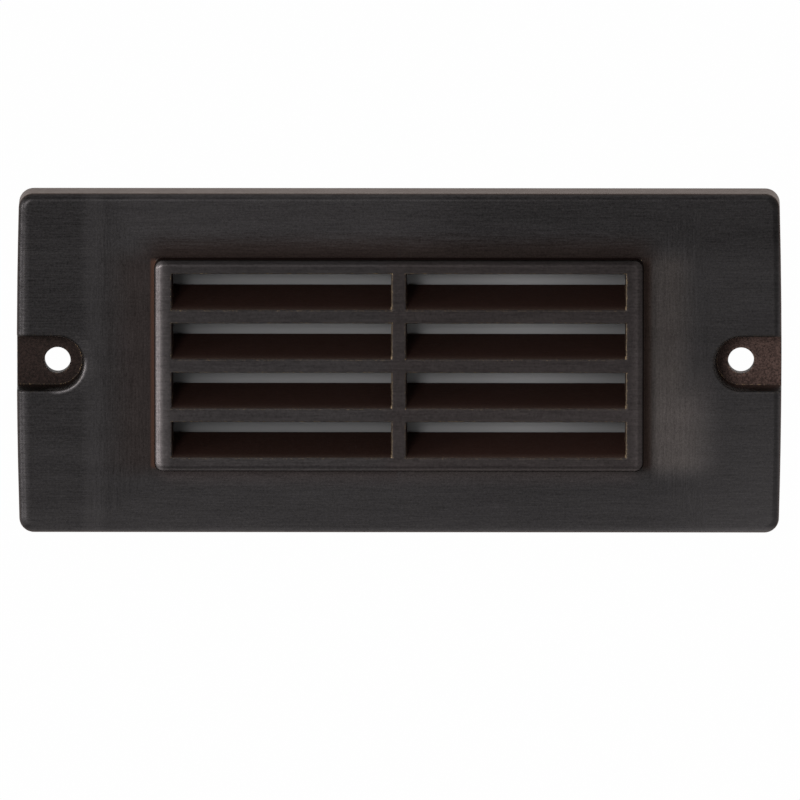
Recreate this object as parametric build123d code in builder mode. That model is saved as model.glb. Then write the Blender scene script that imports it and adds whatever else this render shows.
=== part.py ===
from build123d import *
import math
import os

os.makedirs("parts", exist_ok=True)

# Recessed louvred step light, in millimetres. +Z is up and the light shines toward -Y.
# The origin is on the wall plane (Y = 0), midway between the two wall screw holes.
# A height is measured from the wall plane toward the viewer, so it lies at Y = -height;
# what stands inside the wall has a negative height.


def at_height(height):
    """Plane parallel to the wall: local X runs along +X, local Y along +Z, normal to the viewer."""
    return Plane.XZ.offset(height)


# ---------------------------------------------------------------- driving dimensions: faceplate
plate_length = 235.0
plate_height = 105.0
plate_depth = 16.0
plate_wall = 3.0
plate_draft = 0.8  # degrees
end_bow = 0.8
plate_corner_radius = 4.5
face_edge_radius = 2.2

frame_end_margin = 42.5  # from each end of the plate to the louvre frame
frame_side_margin = 19.885  # from the plate's top and bottom to the louvre frame
slot_rows = 4
slot_columns = 2
louvre_bar = 4.27
middle_bar = 4.3
frame_side_rail = 5.35
frame_end_rail = 4.35
frame_rise = 7.0
frame_corner_radius = 2.6
frame_edge_radius = 1.9
louvre_depth = 13.5
louvre_rise = 6.4
slot_end_draft = 0.3  # how much each end wall of a slot leans in over the louvre's depth
slot_edge_break = 0.25

hole_end_gap = 12.5  # from each end of the plate to the middle of its wall hole
wall_hole_diameter = 8.0
recess_radius = 8.4
recess_depth = 9.8
recess_draft = 5.0  # degrees
recess_wall = 2.8
recess_edge_radius = 0.6
face_skin = 2.0  # metal left in front of a tapped hole

# ---------------------------------------------------------------- driving dimensions: glass
seat_margin = 0.7
seat_width = 3.5
seat_border = 1.0
lens_thickness = 4.0
lens_corner_radius = 3.0
lens_edge_chamfer = 0.4
lens_gasket_thickness = 1.5
clip_thickness = 0.8
clip_width = 10.0
clip_overlap = 3.0
clip_spacing = 36.0
clip_boss_diameter = 6.4
clip_corner_radius = 1.2

# ---------------------------------------------------------------- driving dimensions: housing
pan_gap = 2.0
flange_thickness = 4.0
flange_end_width = 10.4
flange_lip = 6.2
flange_corner_radius = 7.0
housing_wall = 2.5
housing_back_wall = 3.0
housing_reach = 58.0  # from the wall plane to the outside of the back wall
housing_draft = 1.0  # degrees
housing_corner_radius = 8.0
housing_back_radius = 4.0
housing_gasket_thickness = 1.5
seal_land_height = 9.0
hub_spacing = 100.0
hub_border = 3.0  # metal of a cable entry's hub outside its washer
hub_rise = 3.0
rib_count = 5
rib_pitch = 11.0
rib_thickness = 2.0
rib_rise = 2.4
rib_length = 60.0
post_bracket_gap = 2.0  # from the head of a reflector screw to the lampholder's bracket
post_spacing_z = 25.0
post_diameter = 7.0
terminal_pad_height = 3.0
post_hole_depth = 9.0
terminal_hole_depth = 5.0

# ---------------------------------------------------------------- driving dimensions: reflector
reflector_sheet = 1.0
reflector_end_gap = 4.4  # from the rim's ends to the housing
reflector_side_gap = 2.3  # from the rim's long sides to the housing
reflector_floor_length = 116.0
reflector_floor_height = 34.0
reflector_depth = 28.0
reflector_rim = 4.0
reflector_mouth_gap = 5.0  # from the back of the glass to the reflector's rim
grommet_end_gap = 1.8  # from the grommet's lip to the end of the reflector's floor
grommet_lead_clearance = 0.3
grommet_wall = 1.0
grommet_lip = 1.5
grommet_lip_thickness = 1.2

# ---------------------------------------------------------------- driving dimensions: lamp
holder_stand = 5.5  # from the reflector's floor to the foot of the lampholder
blade_width = 9.0
blade_thickness = 2.4
blade_length = 8.0
lamp_collar_diameter = 13.0
lamp_collar_length = 6.0
lamp_spigot_length = 3.0
lamp_cover_diameter = 14.0
lamp_cover_wall = 0.8
lamp_cover_length = 30.0
board_width = 9.0
board_thickness = 1.2
board_length = 24.0
chip_size = 3.0
chip_thickness = 0.8
chips_per_side = 4
holder_length = 16.0
holder_height = 13.0
holder_width = 17.0
holder_ear = 6.4
holder_ear_thickness = 3.0
holder_slot_clearance = 0.3
contact_thickness = 0.6
contact_width = 3.0
contact_tail = 2.0
contact_slot_clearance = 0.1
bracket_sheet = 1.2
bracket_bend_radius = 1.6
bracket_foot = 8.0
bracket_grommet_gap = 1.6
holder_edge_radius = 1.0
contact_setback = 1.5  # a contact's front end lies inside the mouth of its slot
lamp_mouth_gap = 0.3
collar_edge_radius = 0.6
chip_end_gap = 1.2

# ---------------------------------------------------------------- driving dimensions: wiring
lead_diameter = 1.8
pole_pitch = 10.0
terminal_length = 20.0
terminal_height = 14.0
terminal_width = 19.0
terminal_x = -6.0  # end of the block that faces the lampholder leads
clamp_lead_clearance = 0.4
clamp_wall = 0.9
clamp_end_gap = 2.0
clamp_level = 8.0  # from the foot of the block to the middle of a clamp
lead_reach = 6.5  # how far a lead's end stands inside the block
terminal_screw_inset = 5.0
terminal_edge_radius = 1.5
terminal_well_diameter = 3.8
clamp_screw_diameter = 2.5
terminal_screw_length = 5.0
terminal_slot_width = 0.6
lead_screw_gap = 0.1

# ---------------------------------------------------------------- driving dimensions: cable gland
entry_thread_diameter = 16.0
entry_thread_length = 9.0
entry_washer_border = 3.0  # how far the washer stands out round the thread
entry_washer_thickness = 1.5
gland_hex_border = 2.0
gland_hex_height = 6.0
gland_neck_inset = 0.5
gland_neck_wall = 1.2
gland_neck_end_gap = 1.0
gland_bore = 10.0
gland_seal_bore = 7.6
gland_seal_length = 9.0
gland_seal_floor = 1.0
nut_clearance = 0.08
nut_gap = 0.5
nut_dome = 6.0
nut_mouth_diameter = 9.4
nut_nose_inset = 3.0
plug_head_border = 2.5
plug_head_height = 4.5
plug_slot_width = 2.4
plug_slot_depth = 2.0
plug_slot_length = 13.0
plug_head_radius = 1.0
plug_oring_inset = 0.6
nut_nose_radius = 1.2

# ---------------------------------------------------------------- driving dimensions: screws
m4_diameter = 4.0
m4_head_diameter = 7.2
m4_head_height = 2.6
m3_diameter = 3.0
m3_head_diameter = 5.6
m3_head_height = 2.0
thread_clearance = 0.15  # radial, between a screw and its tapped hole
hole_clearance = 0.3  # radial, between a screw and a plain hole
blind_depth_spare = 0.8  # a blind hole runs on past the tip of its screw
screw_tip_stand = 1.0  # how far a screw's tip stands out past its sheet
flat_tolerance = 0.01  # edges this close to a face count as lying on it
overrun = 1.0  # how far a cutting body stands out past the face that it cuts

# ---------------------------------------------------------------- worked-out sizes
frame_face = plate_depth + frame_rise
frame_length = plate_length - 2 * frame_end_margin
frame_height = plate_height - 2 * frame_side_margin
field_length = frame_length - 2 * frame_side_rail
field_height = frame_height - 2 * frame_end_rail
slot_length = (field_length - (slot_columns - 1) * middle_bar) / slot_columns
slot_height = (field_height - (slot_rows - 1) * louvre_bar) / slot_rows
slot_pitch = slot_height + louvre_bar
seat_face = frame_face - louvre_depth
pan_floor = plate_depth - plate_wall
hole_x = plate_length / 2 - hole_end_gap

lens_length = field_length + 2 * (seat_margin + seat_width)
lens_height = field_height + 2 * (seat_margin + seat_width)
lens_opening_length = field_length + 2 * seat_margin
lens_opening_height = field_height + 2 * seat_margin
lens_front = seat_face - lens_gasket_thickness
lens_back = lens_front - lens_thickness
clip_boss_x = (lens_length + clip_boss_diameter) / 2 + seat_border - 0.1
clip_places = [
    (side * clip_boss_x, louvre_rise + level * clip_spacing / 2) for side in (-1, 1) for level in (-1, 1)
]

flange_front = seal_land_height - housing_gasket_thickness
flange_back = flange_front - flange_thickness
flange_length = 2 * (hole_x - recess_radius - recess_wall - pan_gap / 2)
flange_height = plate_height - 2 * (plate_wall + pan_gap)
cavity_length = flange_length - 2 * flange_end_width
cavity_height = flange_height - 2 * flange_lip
cavity_back = -(housing_reach - housing_back_wall)
cavity_corner_radius = housing_corner_radius - housing_wall
flange_screw_x = (cavity_length + flange_end_width) / 2 + housing_wall / 2
flange_screw_z = cavity_height / 2 - housing_corner_radius
flange_screw_places = [(x * flange_screw_x, z * flange_screw_z) for x in (-1, 1) for z in (-1, 1)]
tapped_hole_end = plate_depth - face_skin
flange_screw_length = tapped_hole_end - blind_depth_spare - flange_back
clip_screw_length = tapped_hole_end - blind_depth_spare - lens_back + clip_thickness

pole_places = (-pole_pitch / 2, pole_pitch / 2)
grommet_bore = pole_pitch + lead_diameter + 2 * grommet_lead_clearance
grommet_radius = grommet_bore / 2 + grommet_wall
grommet_lip_radius = grommet_radius + grommet_lip

reflector_front = lens_back - reflector_mouth_gap
reflector_floor_inside = reflector_front - reflector_depth
reflector_floor_outside = reflector_floor_inside - reflector_sheet
reflector_mouth_length = cavity_length - 2 * (reflector_end_gap + reflector_rim)
reflector_mouth_height = cavity_height - 2 * (reflector_side_gap + reflector_rim)
lead_hole_x = grommet_lip_radius + grommet_end_gap - reflector_floor_length / 2

saddle_half = holder_length / 2 + bracket_sheet
bracket_end_x = lead_hole_x + grommet_lip_radius + bracket_grommet_gap
holder_middle_x = bracket_end_x + bracket_foot + saddle_half
socket_x = holder_middle_x + holder_length / 2
post_x = m3_head_diameter / 2 + post_bracket_gap - bracket_end_x
post_places = [(x * post_x, z * post_spacing_z / 2) for x in (-1, 1) for z in (-1, 1)]
holder_foot = reflector_floor_inside + holder_stand
lamp_axis_height = holder_foot + holder_height / 2
lamp_axis_y = -lamp_axis_height
contact_level = lamp_axis_height - blade_thickness / 2 - contact_slot_clearance - contact_thickness / 2
terminal_foot = cavity_back + terminal_pad_height
clamp_height = terminal_foot + clamp_level

post_screw_length = reflector_sheet + post_hole_depth - blind_depth_spare
bracket_width = holder_width + 2 * holder_ear
foot_y = -(reflector_floor_inside + bracket_sheet / 2)
saddle_y = -(holder_foot - bracket_sheet / 2)
bracket_screw_reach = saddle_half + bracket_foot * 0.62
bracket_screw_places = [
    (holder_middle_x - bracket_screw_reach, 0),
    (holder_middle_x + bracket_screw_reach, 0),
]
bracket_screw_length = reflector_sheet + bracket_sheet + screw_tip_stand
holder_screw_z = (holder_width + holder_ear) / 2
holder_screw_places = [(holder_middle_x, -holder_screw_z), (holder_middle_x, holder_screw_z)]
holder_screw_length = holder_ear_thickness + bracket_sheet + screw_tip_stand
collar_x = socket_x + lamp_mouth_gap
cover_x = collar_x + lamp_collar_length
tube_length = lamp_cover_length - lamp_cover_diameter / 2
chip_run = board_length - lamp_spigot_length - 2 * chip_end_gap - chip_size
chip_pitch = chip_run / (chips_per_side - 1)

terminal_middle_x = terminal_x + terminal_length / 2
clamp_bore = lead_diameter + 2 * clamp_lead_clearance
clamp_diameter = clamp_bore + 2 * clamp_wall

hub_x = hub_spacing / 2
hub_face = -(housing_reach + hub_rise)
entry_washer_diameter = entry_thread_diameter + 2 * entry_washer_border
hub_diameter = entry_washer_diameter + 2 * hub_border
gland_flats = entry_thread_diameter + 2 * gland_hex_border
gland_neck_diameter = entry_thread_diameter - 2 * gland_neck_inset
gland_neck_length = gland_seal_floor + gland_seal_length - gland_neck_end_gap
gland_seal_diameter = gland_neck_diameter - 2 * gland_neck_wall
nut_skirt = gland_seal_floor + gland_seal_length - nut_gap
nut_nose_diameter = gland_flats - 2 * nut_nose_inset
plug_head_diameter = entry_thread_diameter + 2 * plug_head_border


# ---------------------------------------------------------------- repeated shapes
def pan_screw(diameter, length, head_diameter, head_height):
    """Pan-head cross-recess screw: the head stands on local Z = 0, the shank runs down -Z."""
    recess_width = head_diameter * 0.16
    with BuildPart() as screw:
        with BuildSketch():
            Circle(head_diameter / 2)
        extrude(amount=head_height)
        fillet(screw.edges().sort_by(Axis.Z)[-1], head_height * 0.45)
        with BuildSketch(Plane.XY.offset(head_height)):
            Rectangle(head_diameter * 0.62, recess_width)
            Rectangle(recess_width, head_diameter * 0.62)
        extrude(amount=-head_height * 0.55, mode=Mode.SUBTRACT)
        with BuildSketch():
            Circle(diameter / 2)
        extrude(amount=-length)
        chamfer(screw.edges().sort_by(Axis.Z)[0], diameter * 0.12)
    return screw.part


def plate_section(height):
    """Outline of the plate at this height: bowed ends, round corners, drawn in by the draft."""
    draft_inset = height * math.tan(math.radians(plate_draft))
    half_x = plate_length / 2 - draft_inset
    half_z = plate_height / 2 - draft_inset
    corner_x = half_x - end_bow
    with BuildSketch(at_height(height), mode=Mode.PRIVATE) as section:
        with BuildLine():
            Line((-corner_x, half_z), (corner_x, half_z))
            ThreePointArc((corner_x, half_z), (half_x, 0), (corner_x, -half_z))
            Line((corner_x, -half_z), (-corner_x, -half_z))
            ThreePointArc((-corner_x, -half_z), (-half_x, 0), (-corner_x, half_z))
        make_face()
        fillet(section.vertices(), plate_corner_radius)
    return section.sketch


def slot_section(x, z, height, border):
    """Outline of one louvre slot at this height: it climbs and narrows on its way to the back."""
    way_back = (frame_face - height) / louvre_depth
    with BuildSketch(at_height(height), mode=Mode.PRIVATE) as section:
        with Locations((x, z + louvre_rise * way_back)):
            Rectangle(
                slot_length - 2 * slot_end_draft * way_back + 2 * border,
                slot_height + 2 * border,
            )
    return section.sketch


def facing_back(height, x, z):
    """Place for a screw whose head points away from the viewer, on a face at this height."""
    return Plane(origin=(x, -height, z), x_dir=(1, 0, 0), z_dir=(0, 1, 0))


def facing_front(height, x, z):
    """Place for a screw whose head points at the viewer, on a face at this height."""
    return Plane(origin=(x, -height, z), x_dir=(1, 0, 0), z_dir=(0, -1, 0))


# ---------------------------------------------------------------- faceplate casting
half_length = plate_length / 2

with BuildPart() as faceplate:
    loft([plate_section(0), plate_section(plate_depth)], ruled=True)
    fillet(faceplate.faces().sort_by(Axis.Y)[0].edges(), face_edge_radius)
    # raised louvre frame
    with BuildSketch(at_height(pan_floor)):
        RectangleRounded(frame_length, frame_height, frame_corner_radius)
    extrude(amount=plate_wall + frame_rise)
    fillet(faceplate.faces().sort_by(Axis.Y)[0].edges(), frame_edge_radius)
    # hollow back, which leaves a horseshoe of metal round each screw recess
    with BuildSketch(at_height(0)):
        RectangleRounded(
            plate_length - 2 * (plate_wall + end_bow), plate_height - 2 * plate_wall, plate_corner_radius
        )
        for side in (-1, 1):
            with Locations((side * hole_x, 0)):
                Circle(recess_radius + recess_wall, mode=Mode.SUBTRACT)
            with Locations((side * (hole_x + half_length) / 2, 0)):
                Rectangle(half_length - hole_x, 2 * (recess_radius + recess_wall), mode=Mode.SUBTRACT)
    extrude(amount=pan_floor, mode=Mode.SUBTRACT)
    # land for the housing's seal, seat for the glass and bosses for its clips
    with BuildSketch(at_height(seal_land_height)):
        RectangleRounded(flange_length, flange_height, flange_corner_radius)
        RectangleRounded(cavity_length, cavity_height, cavity_corner_radius, mode=Mode.SUBTRACT)
    extrude(amount=pan_floor - seal_land_height + overrun)
    with BuildSketch(at_height(seat_face)):
        with Locations((0, louvre_rise)):
            RectangleRounded(
                lens_length + 2 * seat_border,
                lens_height + 2 * seat_border,
                lens_corner_radius + seat_border,
            )
    extrude(amount=pan_floor - seat_face + overrun)
    with BuildSketch(at_height(lens_back)):
        with Locations(*clip_places):
            Circle(clip_boss_diameter / 2)
    extrude(amount=pan_floor - lens_back + overrun)
    # slanted louvre slots: they rise toward the back and their end walls lean in
    for column in range(slot_columns):
        slot_x = (column - (slot_columns - 1) / 2) * (slot_length + middle_bar)
        for row in range(slot_rows):
            slot_z = (row - (slot_rows - 1) / 2) * slot_pitch
            mouth = slot_section(slot_x, slot_z, frame_face + overrun, 0)
            rear = slot_section(slot_x, slot_z, seat_face - overrun, 0)
            loft([mouth, rear], ruled=True, mode=Mode.SUBTRACT)
            bevel_front = slot_section(slot_x, slot_z, frame_face, slot_edge_break)
            bevel_back = slot_section(slot_x, slot_z, frame_face - slot_edge_break, 0)
            loft([bevel_front, bevel_back], ruled=True, mode=Mode.SUBTRACT)
    # screw recesses, open to the ends, each with its wall hole
    for side in (-1, 1):
        with BuildSketch(at_height(plate_depth)):
            with Locations((side * hole_x, 0)):
                Circle(recess_radius)
            with Locations((side * (hole_x + half_length) / 2, 0)):
                Rectangle(half_length - hole_x, 2 * recess_radius)
            with Locations((side * (half_length + overrun), 0)):
                Rectangle(2 * overrun, 2 * recess_radius)
        extrude(amount=-recess_depth, taper=recess_draft, mode=Mode.SUBTRACT)
    face_edges = faceplate.edges().filter_by_position(
        Axis.Y, -plate_depth - flat_tolerance, -plate_depth + flat_tolerance
    )
    fillet(
        face_edges.filter_by(lambda edge: abs(edge.center().X) > frame_length / 2)
        .filter_by(lambda edge: abs(edge.center().Z) < recess_radius + flat_tolerance),
        recess_edge_radius,
    )
    with BuildSketch(at_height(0)):
        with Locations((-hole_x, 0), (hole_x, 0)):
            Circle(wall_hole_diameter / 2)
    extrude(amount=plate_depth, mode=Mode.SUBTRACT)
    # blind tapped holes for the housing screws and the clip screws
    with BuildSketch(at_height(seal_land_height)):
        with Locations(*flange_screw_places):
            Circle(m4_diameter / 2 + thread_clearance)
    extrude(amount=tapped_hole_end - seal_land_height, mode=Mode.SUBTRACT)
    with BuildSketch(at_height(lens_back)):
        with Locations(*clip_places):
            Circle(m3_diameter / 2 + thread_clearance)
    extrude(amount=tapped_hole_end - lens_back, mode=Mode.SUBTRACT)
faceplate.part.label = "faceplate"
export_step(faceplate.part, "parts/faceplate.step")

# ---------------------------------------------------------------- glass, its seal and its clips
with BuildPart() as lens_gasket:
    with BuildSketch(at_height(lens_front)):
        with Locations((0, louvre_rise)):
            RectangleRounded(lens_length, lens_height, lens_corner_radius)
            Rectangle(lens_opening_length, lens_opening_height, mode=Mode.SUBTRACT)
    extrude(amount=lens_gasket_thickness)
lens_gasket.part.label = "lens_gasket"
export_step(lens_gasket.part, "parts/lens_gasket.step")

with BuildPart() as lens:
    with BuildSketch(at_height(lens_back)):
        with Locations((0, louvre_rise)):
            RectangleRounded(lens_length, lens_height, lens_corner_radius)
    extrude(amount=lens_thickness)
    chamfer(lens.edges().group_by(Axis.Y)[0], lens_edge_chamfer)
    chamfer(lens.edges().group_by(Axis.Y)[-1], lens_edge_chamfer)
lens.part.label = "lens"
export_step(lens.part, "parts/lens.step")

clip_outer_x = clip_boss_x + clip_boss_diameter / 2
clip_inner_x = lens_length / 2 - clip_overlap
clip_length = clip_outer_x - clip_inner_x
with BuildPart() as lens_clips:
    with BuildSketch(at_height(lens_back)) as clip_outline:
        for boss_x, boss_z in clip_places:
            with Locations((math.copysign(clip_inner_x + clip_length / 2, boss_x), boss_z)):
                RectangleRounded(clip_length, clip_width, clip_corner_radius)
        with Locations(*clip_places):
            Circle(m3_diameter / 2 + hole_clearance, mode=Mode.SUBTRACT)
    extrude(amount=-clip_thickness)
lens_clips.part.label = "lens_clips"
export_step(lens_clips.part, "parts/lens_clips.step")

m3_clip_screw = pan_screw(m3_diameter, clip_screw_length, m3_head_diameter, m3_head_height)
with BuildPart() as lens_clip_screws:
    with Locations(*[facing_back(lens_back - clip_thickness, x, z) for x, z in clip_places]):
        add(m3_clip_screw)
lens_clip_screws.part.label = "lens_clip_screws"
export_step(lens_clip_screws.part, "parts/lens_clip_screws.step")

# ---------------------------------------------------------------- housing and its seal
with BuildPart() as housing_gasket:
    with BuildSketch(at_height(flange_front)):
        RectangleRounded(flange_length, flange_height, flange_corner_radius)
        RectangleRounded(cavity_length, cavity_height, cavity_corner_radius, mode=Mode.SUBTRACT)
        with Locations(*flange_screw_places):
            Circle(m4_diameter / 2 + hole_clearance, mode=Mode.SUBTRACT)
    extrude(amount=housing_gasket_thickness)
housing_gasket.part.label = "housing_gasket"
export_step(housing_gasket.part, "parts/housing_gasket.step")

with BuildPart() as housing:
    with BuildSketch(at_height(flange_front)):
        RectangleRounded(
            cavity_length + 2 * housing_wall, cavity_height + 2 * housing_wall, housing_corner_radius
        )
    extrude(amount=-(flange_front + housing_reach), taper=housing_draft)
    fillet(housing.faces().sort_by(Axis.Y)[-1].edges(), housing_back_radius)
    with BuildSketch(at_height(flange_front)):
        RectangleRounded(flange_length, flange_height, flange_corner_radius)
    extrude(amount=-flange_thickness)
    # outside of the back wall: two threaded cable entries with ribs between them
    with BuildSketch(at_height(hub_face)):
        with Locations((-hub_x, 0), (hub_x, 0)):
            Circle(hub_diameter / 2)
    extrude(amount=hub_rise + housing_back_wall, taper=-housing_draft)
    with BuildSketch(at_height(-housing_reach - rib_rise)):
        with GridLocations(rib_pitch, 0, rib_count, 1):
            SlotOverall(rib_length, rib_thickness, rotation=90)
    extrude(amount=rib_rise + housing_back_wall / 2)
    with BuildSketch(at_height(flange_front)):
        RectangleRounded(cavity_length, cavity_height, cavity_corner_radius)
    extrude(amount=cavity_back - flange_front, taper=housing_draft, mode=Mode.SUBTRACT)
    # inside: posts for the reflector and a pad for the terminal block
    with BuildSketch(at_height(reflector_floor_outside)):
        with Locations(*post_places):
            Circle(post_diameter / 2)
    extrude(amount=cavity_back - reflector_floor_outside)
    with BuildSketch(at_height(terminal_foot)):
        with Locations((terminal_middle_x, 0)):
            Rectangle(terminal_length, terminal_width)
    extrude(amount=-terminal_pad_height)
    # holes
    with BuildSketch(at_height(flange_front)):
        with Locations(*flange_screw_places):
            Circle(m4_diameter / 2 + hole_clearance)
    extrude(amount=-flange_thickness, mode=Mode.SUBTRACT)
    with BuildSketch(at_height(reflector_floor_outside)):
        with Locations(*post_places):
            Circle(m3_diameter / 2 + thread_clearance)
    extrude(amount=-post_hole_depth, mode=Mode.SUBTRACT)
    with BuildSketch(at_height(terminal_foot)):
        with Locations((terminal_middle_x, 0)):
            Circle(m3_diameter / 2 + thread_clearance)
    extrude(amount=-terminal_hole_depth, mode=Mode.SUBTRACT)
    with BuildSketch(at_height(hub_face)):
        with Locations((-hub_x, 0), (hub_x, 0)):
            Circle(entry_thread_diameter / 2 + thread_clearance)
    extrude(amount=hub_rise + housing_back_wall, mode=Mode.SUBTRACT)
housing.part.label = "housing"
export_step(housing.part, "parts/housing.step")

m4_flange_screw = pan_screw(m4_diameter, flange_screw_length, m4_head_diameter, m4_head_height)
with BuildPart() as housing_screws:
    with Locations(*[facing_back(flange_back, x, z) for x, z in flange_screw_places]):
        add(m4_flange_screw)
housing_screws.part.label = "housing_screws"
export_step(housing_screws.part, "parts/housing_screws.step")

# ---------------------------------------------------------------- reflector
with BuildPart() as reflector:
    # pressed tray: a rim, four sloping sides and a floor, all of one sheet
    for sheet_offset, cut in ((reflector_sheet, Mode.ADD), (0, Mode.SUBTRACT)):
        with BuildSketch(at_height(reflector_front)):
            Rectangle(reflector_mouth_length + 2 * sheet_offset, reflector_mouth_height + 2 * sheet_offset)
        with BuildSketch(at_height(reflector_floor_inside - sheet_offset)):
            Rectangle(reflector_floor_length + 2 * sheet_offset, reflector_floor_height + 2 * sheet_offset)
        loft(ruled=True, mode=cut)
    with BuildSketch(at_height(reflector_front)):
        RectangleRounded(
            reflector_mouth_length + 2 * reflector_rim,
            reflector_mouth_height + 2 * reflector_rim,
            reflector_rim,
        )
        Rectangle(reflector_mouth_length, reflector_mouth_height, mode=Mode.SUBTRACT)
    extrude(amount=-reflector_sheet)
    with BuildSketch(at_height(reflector_floor_outside)):
        with Locations(*post_places, *bracket_screw_places):
            Circle(m3_diameter / 2 + hole_clearance)
        with Locations((lead_hole_x, 0)):
            Circle(grommet_radius)
    extrude(amount=reflector_sheet, mode=Mode.SUBTRACT)
reflector.part.label = "reflector"
export_step(reflector.part, "parts/reflector.step")

m3_reflector_screw = pan_screw(m3_diameter, post_screw_length, m3_head_diameter, m3_head_height)
with BuildPart() as reflector_screws:
    with Locations(*[facing_front(reflector_floor_inside, x, z) for x, z in post_places]):
        add(m3_reflector_screw)
reflector_screws.part.label = "reflector_screws"
export_step(reflector_screws.part, "parts/reflector_screws.step")

with BuildPart() as lead_grommet:
    with BuildSketch(at_height(reflector_floor_outside - grommet_lip_thickness)):
        with Locations((lead_hole_x, 0)):
            Circle(grommet_radius)
    extrude(amount=reflector_sheet + 2 * grommet_lip_thickness)
    for lip_height in (reflector_floor_outside - grommet_lip_thickness, reflector_floor_inside):
        with BuildSketch(at_height(lip_height)):
            with Locations((lead_hole_x, 0)):
                Circle(grommet_lip_radius)
        extrude(amount=grommet_lip_thickness)
    with BuildSketch(at_height(reflector_floor_outside - grommet_lip_thickness)):
        with Locations((lead_hole_x, 0)):
            Circle(grommet_bore / 2)
    extrude(amount=reflector_sheet + 2 * grommet_lip_thickness, mode=Mode.SUBTRACT)
lead_grommet.part.label = "lead_grommet"
export_step(lead_grommet.part, "parts/lead_grommet.step")

# ---------------------------------------------------------------- lampholder and its bracket
with BuildPart() as lampholder_bracket:
    # bent strip: two feet, two legs and the saddle that the lampholder stands on
    with BuildSketch() as strip:
        with BuildLine() as bends:
            FilletPolyline(
                (holder_middle_x - saddle_half - bracket_foot, foot_y),
                (holder_middle_x - saddle_half, foot_y),
                (holder_middle_x - saddle_half, saddle_y),
                (holder_middle_x + saddle_half, saddle_y),
                (holder_middle_x + saddle_half, foot_y),
                (holder_middle_x + saddle_half + bracket_foot, foot_y),
                radius=bracket_bend_radius,
            )
        trace(line_width=bracket_sheet)
    extrude(amount=bracket_width / 2, both=True)
    with BuildSketch(at_height(reflector_floor_inside)):
        with Locations(*bracket_screw_places):
            Circle(m3_diameter / 2 + thread_clearance)
        with Locations(*holder_screw_places):
            Circle(m3_diameter / 2 + thread_clearance)
    extrude(amount=holder_foot - reflector_floor_inside, mode=Mode.SUBTRACT)
lampholder_bracket.part.label = "lampholder_bracket"
export_step(lampholder_bracket.part, "parts/lampholder_bracket.step")

m3_bracket_screw = pan_screw(m3_diameter, bracket_screw_length, m3_head_diameter, m3_head_height)
with BuildPart() as bracket_screws:
    with Locations(*[facing_back(reflector_floor_outside, x, z) for x, z in bracket_screw_places]):
        add(m3_bracket_screw)
bracket_screws.part.label = "bracket_screws"
export_step(bracket_screws.part, "parts/bracket_screws.step")

with BuildPart() as lampholder:
    with BuildSketch(at_height(holder_foot)):
        with Locations((holder_middle_x, 0)):
            Rectangle(holder_length, holder_width)
    extrude(amount=holder_height)
    fillet(lampholder.edges().filter_by(Axis.X), holder_edge_radius)
    with BuildSketch(at_height(holder_foot)):
        with Locations((holder_middle_x, 0)):
            RectangleRounded(holder_length, holder_width + 2 * holder_ear, holder_edge_radius)
    extrude(amount=holder_ear_thickness)
    with BuildSketch(at_height(holder_foot)):
        with Locations(*holder_screw_places):
            Circle(m3_diameter / 2 + hole_clearance)
    extrude(amount=holder_ear_thickness, mode=Mode.SUBTRACT)
    # slot for the lamp's blade, with a groove behind it for each contact
    with BuildSketch(Plane.YZ.offset(socket_x)):
        with Locations((lamp_axis_y, 0)):
            Rectangle(
                blade_thickness + 2 * contact_slot_clearance, blade_width + 2 * holder_slot_clearance
            )
    extrude(amount=-(blade_length + holder_slot_clearance), mode=Mode.SUBTRACT)
    with BuildSketch(Plane.YZ.offset(socket_x)):
        with Locations(*[(-contact_level, z) for z in pole_places]):
            Rectangle(contact_thickness, contact_width)
    extrude(amount=-holder_length, mode=Mode.SUBTRACT)
lampholder.part.label = "lampholder"
export_step(lampholder.part, "parts/lampholder.step")

with BuildPart() as lampholder_contacts:
    with BuildSketch(Plane.YZ.offset(socket_x - holder_length - contact_tail)):
        with Locations(*[(-contact_level, z) for z in pole_places]):
            Rectangle(contact_thickness, contact_width)
    extrude(amount=holder_length + contact_tail - contact_setback)
lampholder_contacts.part.label = "lampholder_contacts"
export_step(lampholder_contacts.part, "parts/lampholder_contacts.step")

m3_holder_screw = pan_screw(m3_diameter, holder_screw_length, m3_head_diameter, m3_head_height)
with BuildPart() as lampholder_screws:
    with Locations(
        *[facing_front(holder_foot + holder_ear_thickness, x, z) for x, z in holder_screw_places]
    ):
        add(m3_holder_screw)
lampholder_screws.part.label = "lampholder_screws"
export_step(lampholder_screws.part, "parts/lampholder_screws.step")

# ---------------------------------------------------------------- plug-in lamp
with BuildPart() as lamp_base:
    with BuildSketch(Plane.YZ.offset(socket_x - blade_length)):
        with Locations((lamp_axis_y, 0)):
            Rectangle(blade_thickness, blade_width)
    extrude(amount=blade_length + lamp_mouth_gap)
    chamfer(lamp_base.edges().group_by(Axis.X)[0], blade_thickness / 6)
    with BuildSketch(Plane.YZ.offset(collar_x)):
        with Locations((lamp_axis_y, 0)):
            Circle(lamp_collar_diameter / 2)
    extrude(amount=lamp_collar_length)
    fillet(lamp_base.edges().group_by(Axis.X)[-1], collar_edge_radius)
    with BuildSketch(Plane.YZ.offset(cover_x)):
        with Locations((lamp_axis_y, 0)):
            Circle(lamp_cover_diameter / 2 - lamp_cover_wall)
            Rectangle(board_thickness, board_width, mode=Mode.SUBTRACT)
    extrude(amount=lamp_spigot_length)
lamp_base.part.label = "lamp_base"
export_step(lamp_base.part, "parts/lamp_base.step")

with BuildPart() as lamp_board:
    with BuildSketch(Plane.YZ.offset(cover_x)):
        with Locations((lamp_axis_y, 0)):
            Rectangle(board_thickness, board_width)
    extrude(amount=board_length)
lamp_board.part.label = "lamp_board"
export_step(lamp_board.part, "parts/lamp_board.step")

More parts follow.
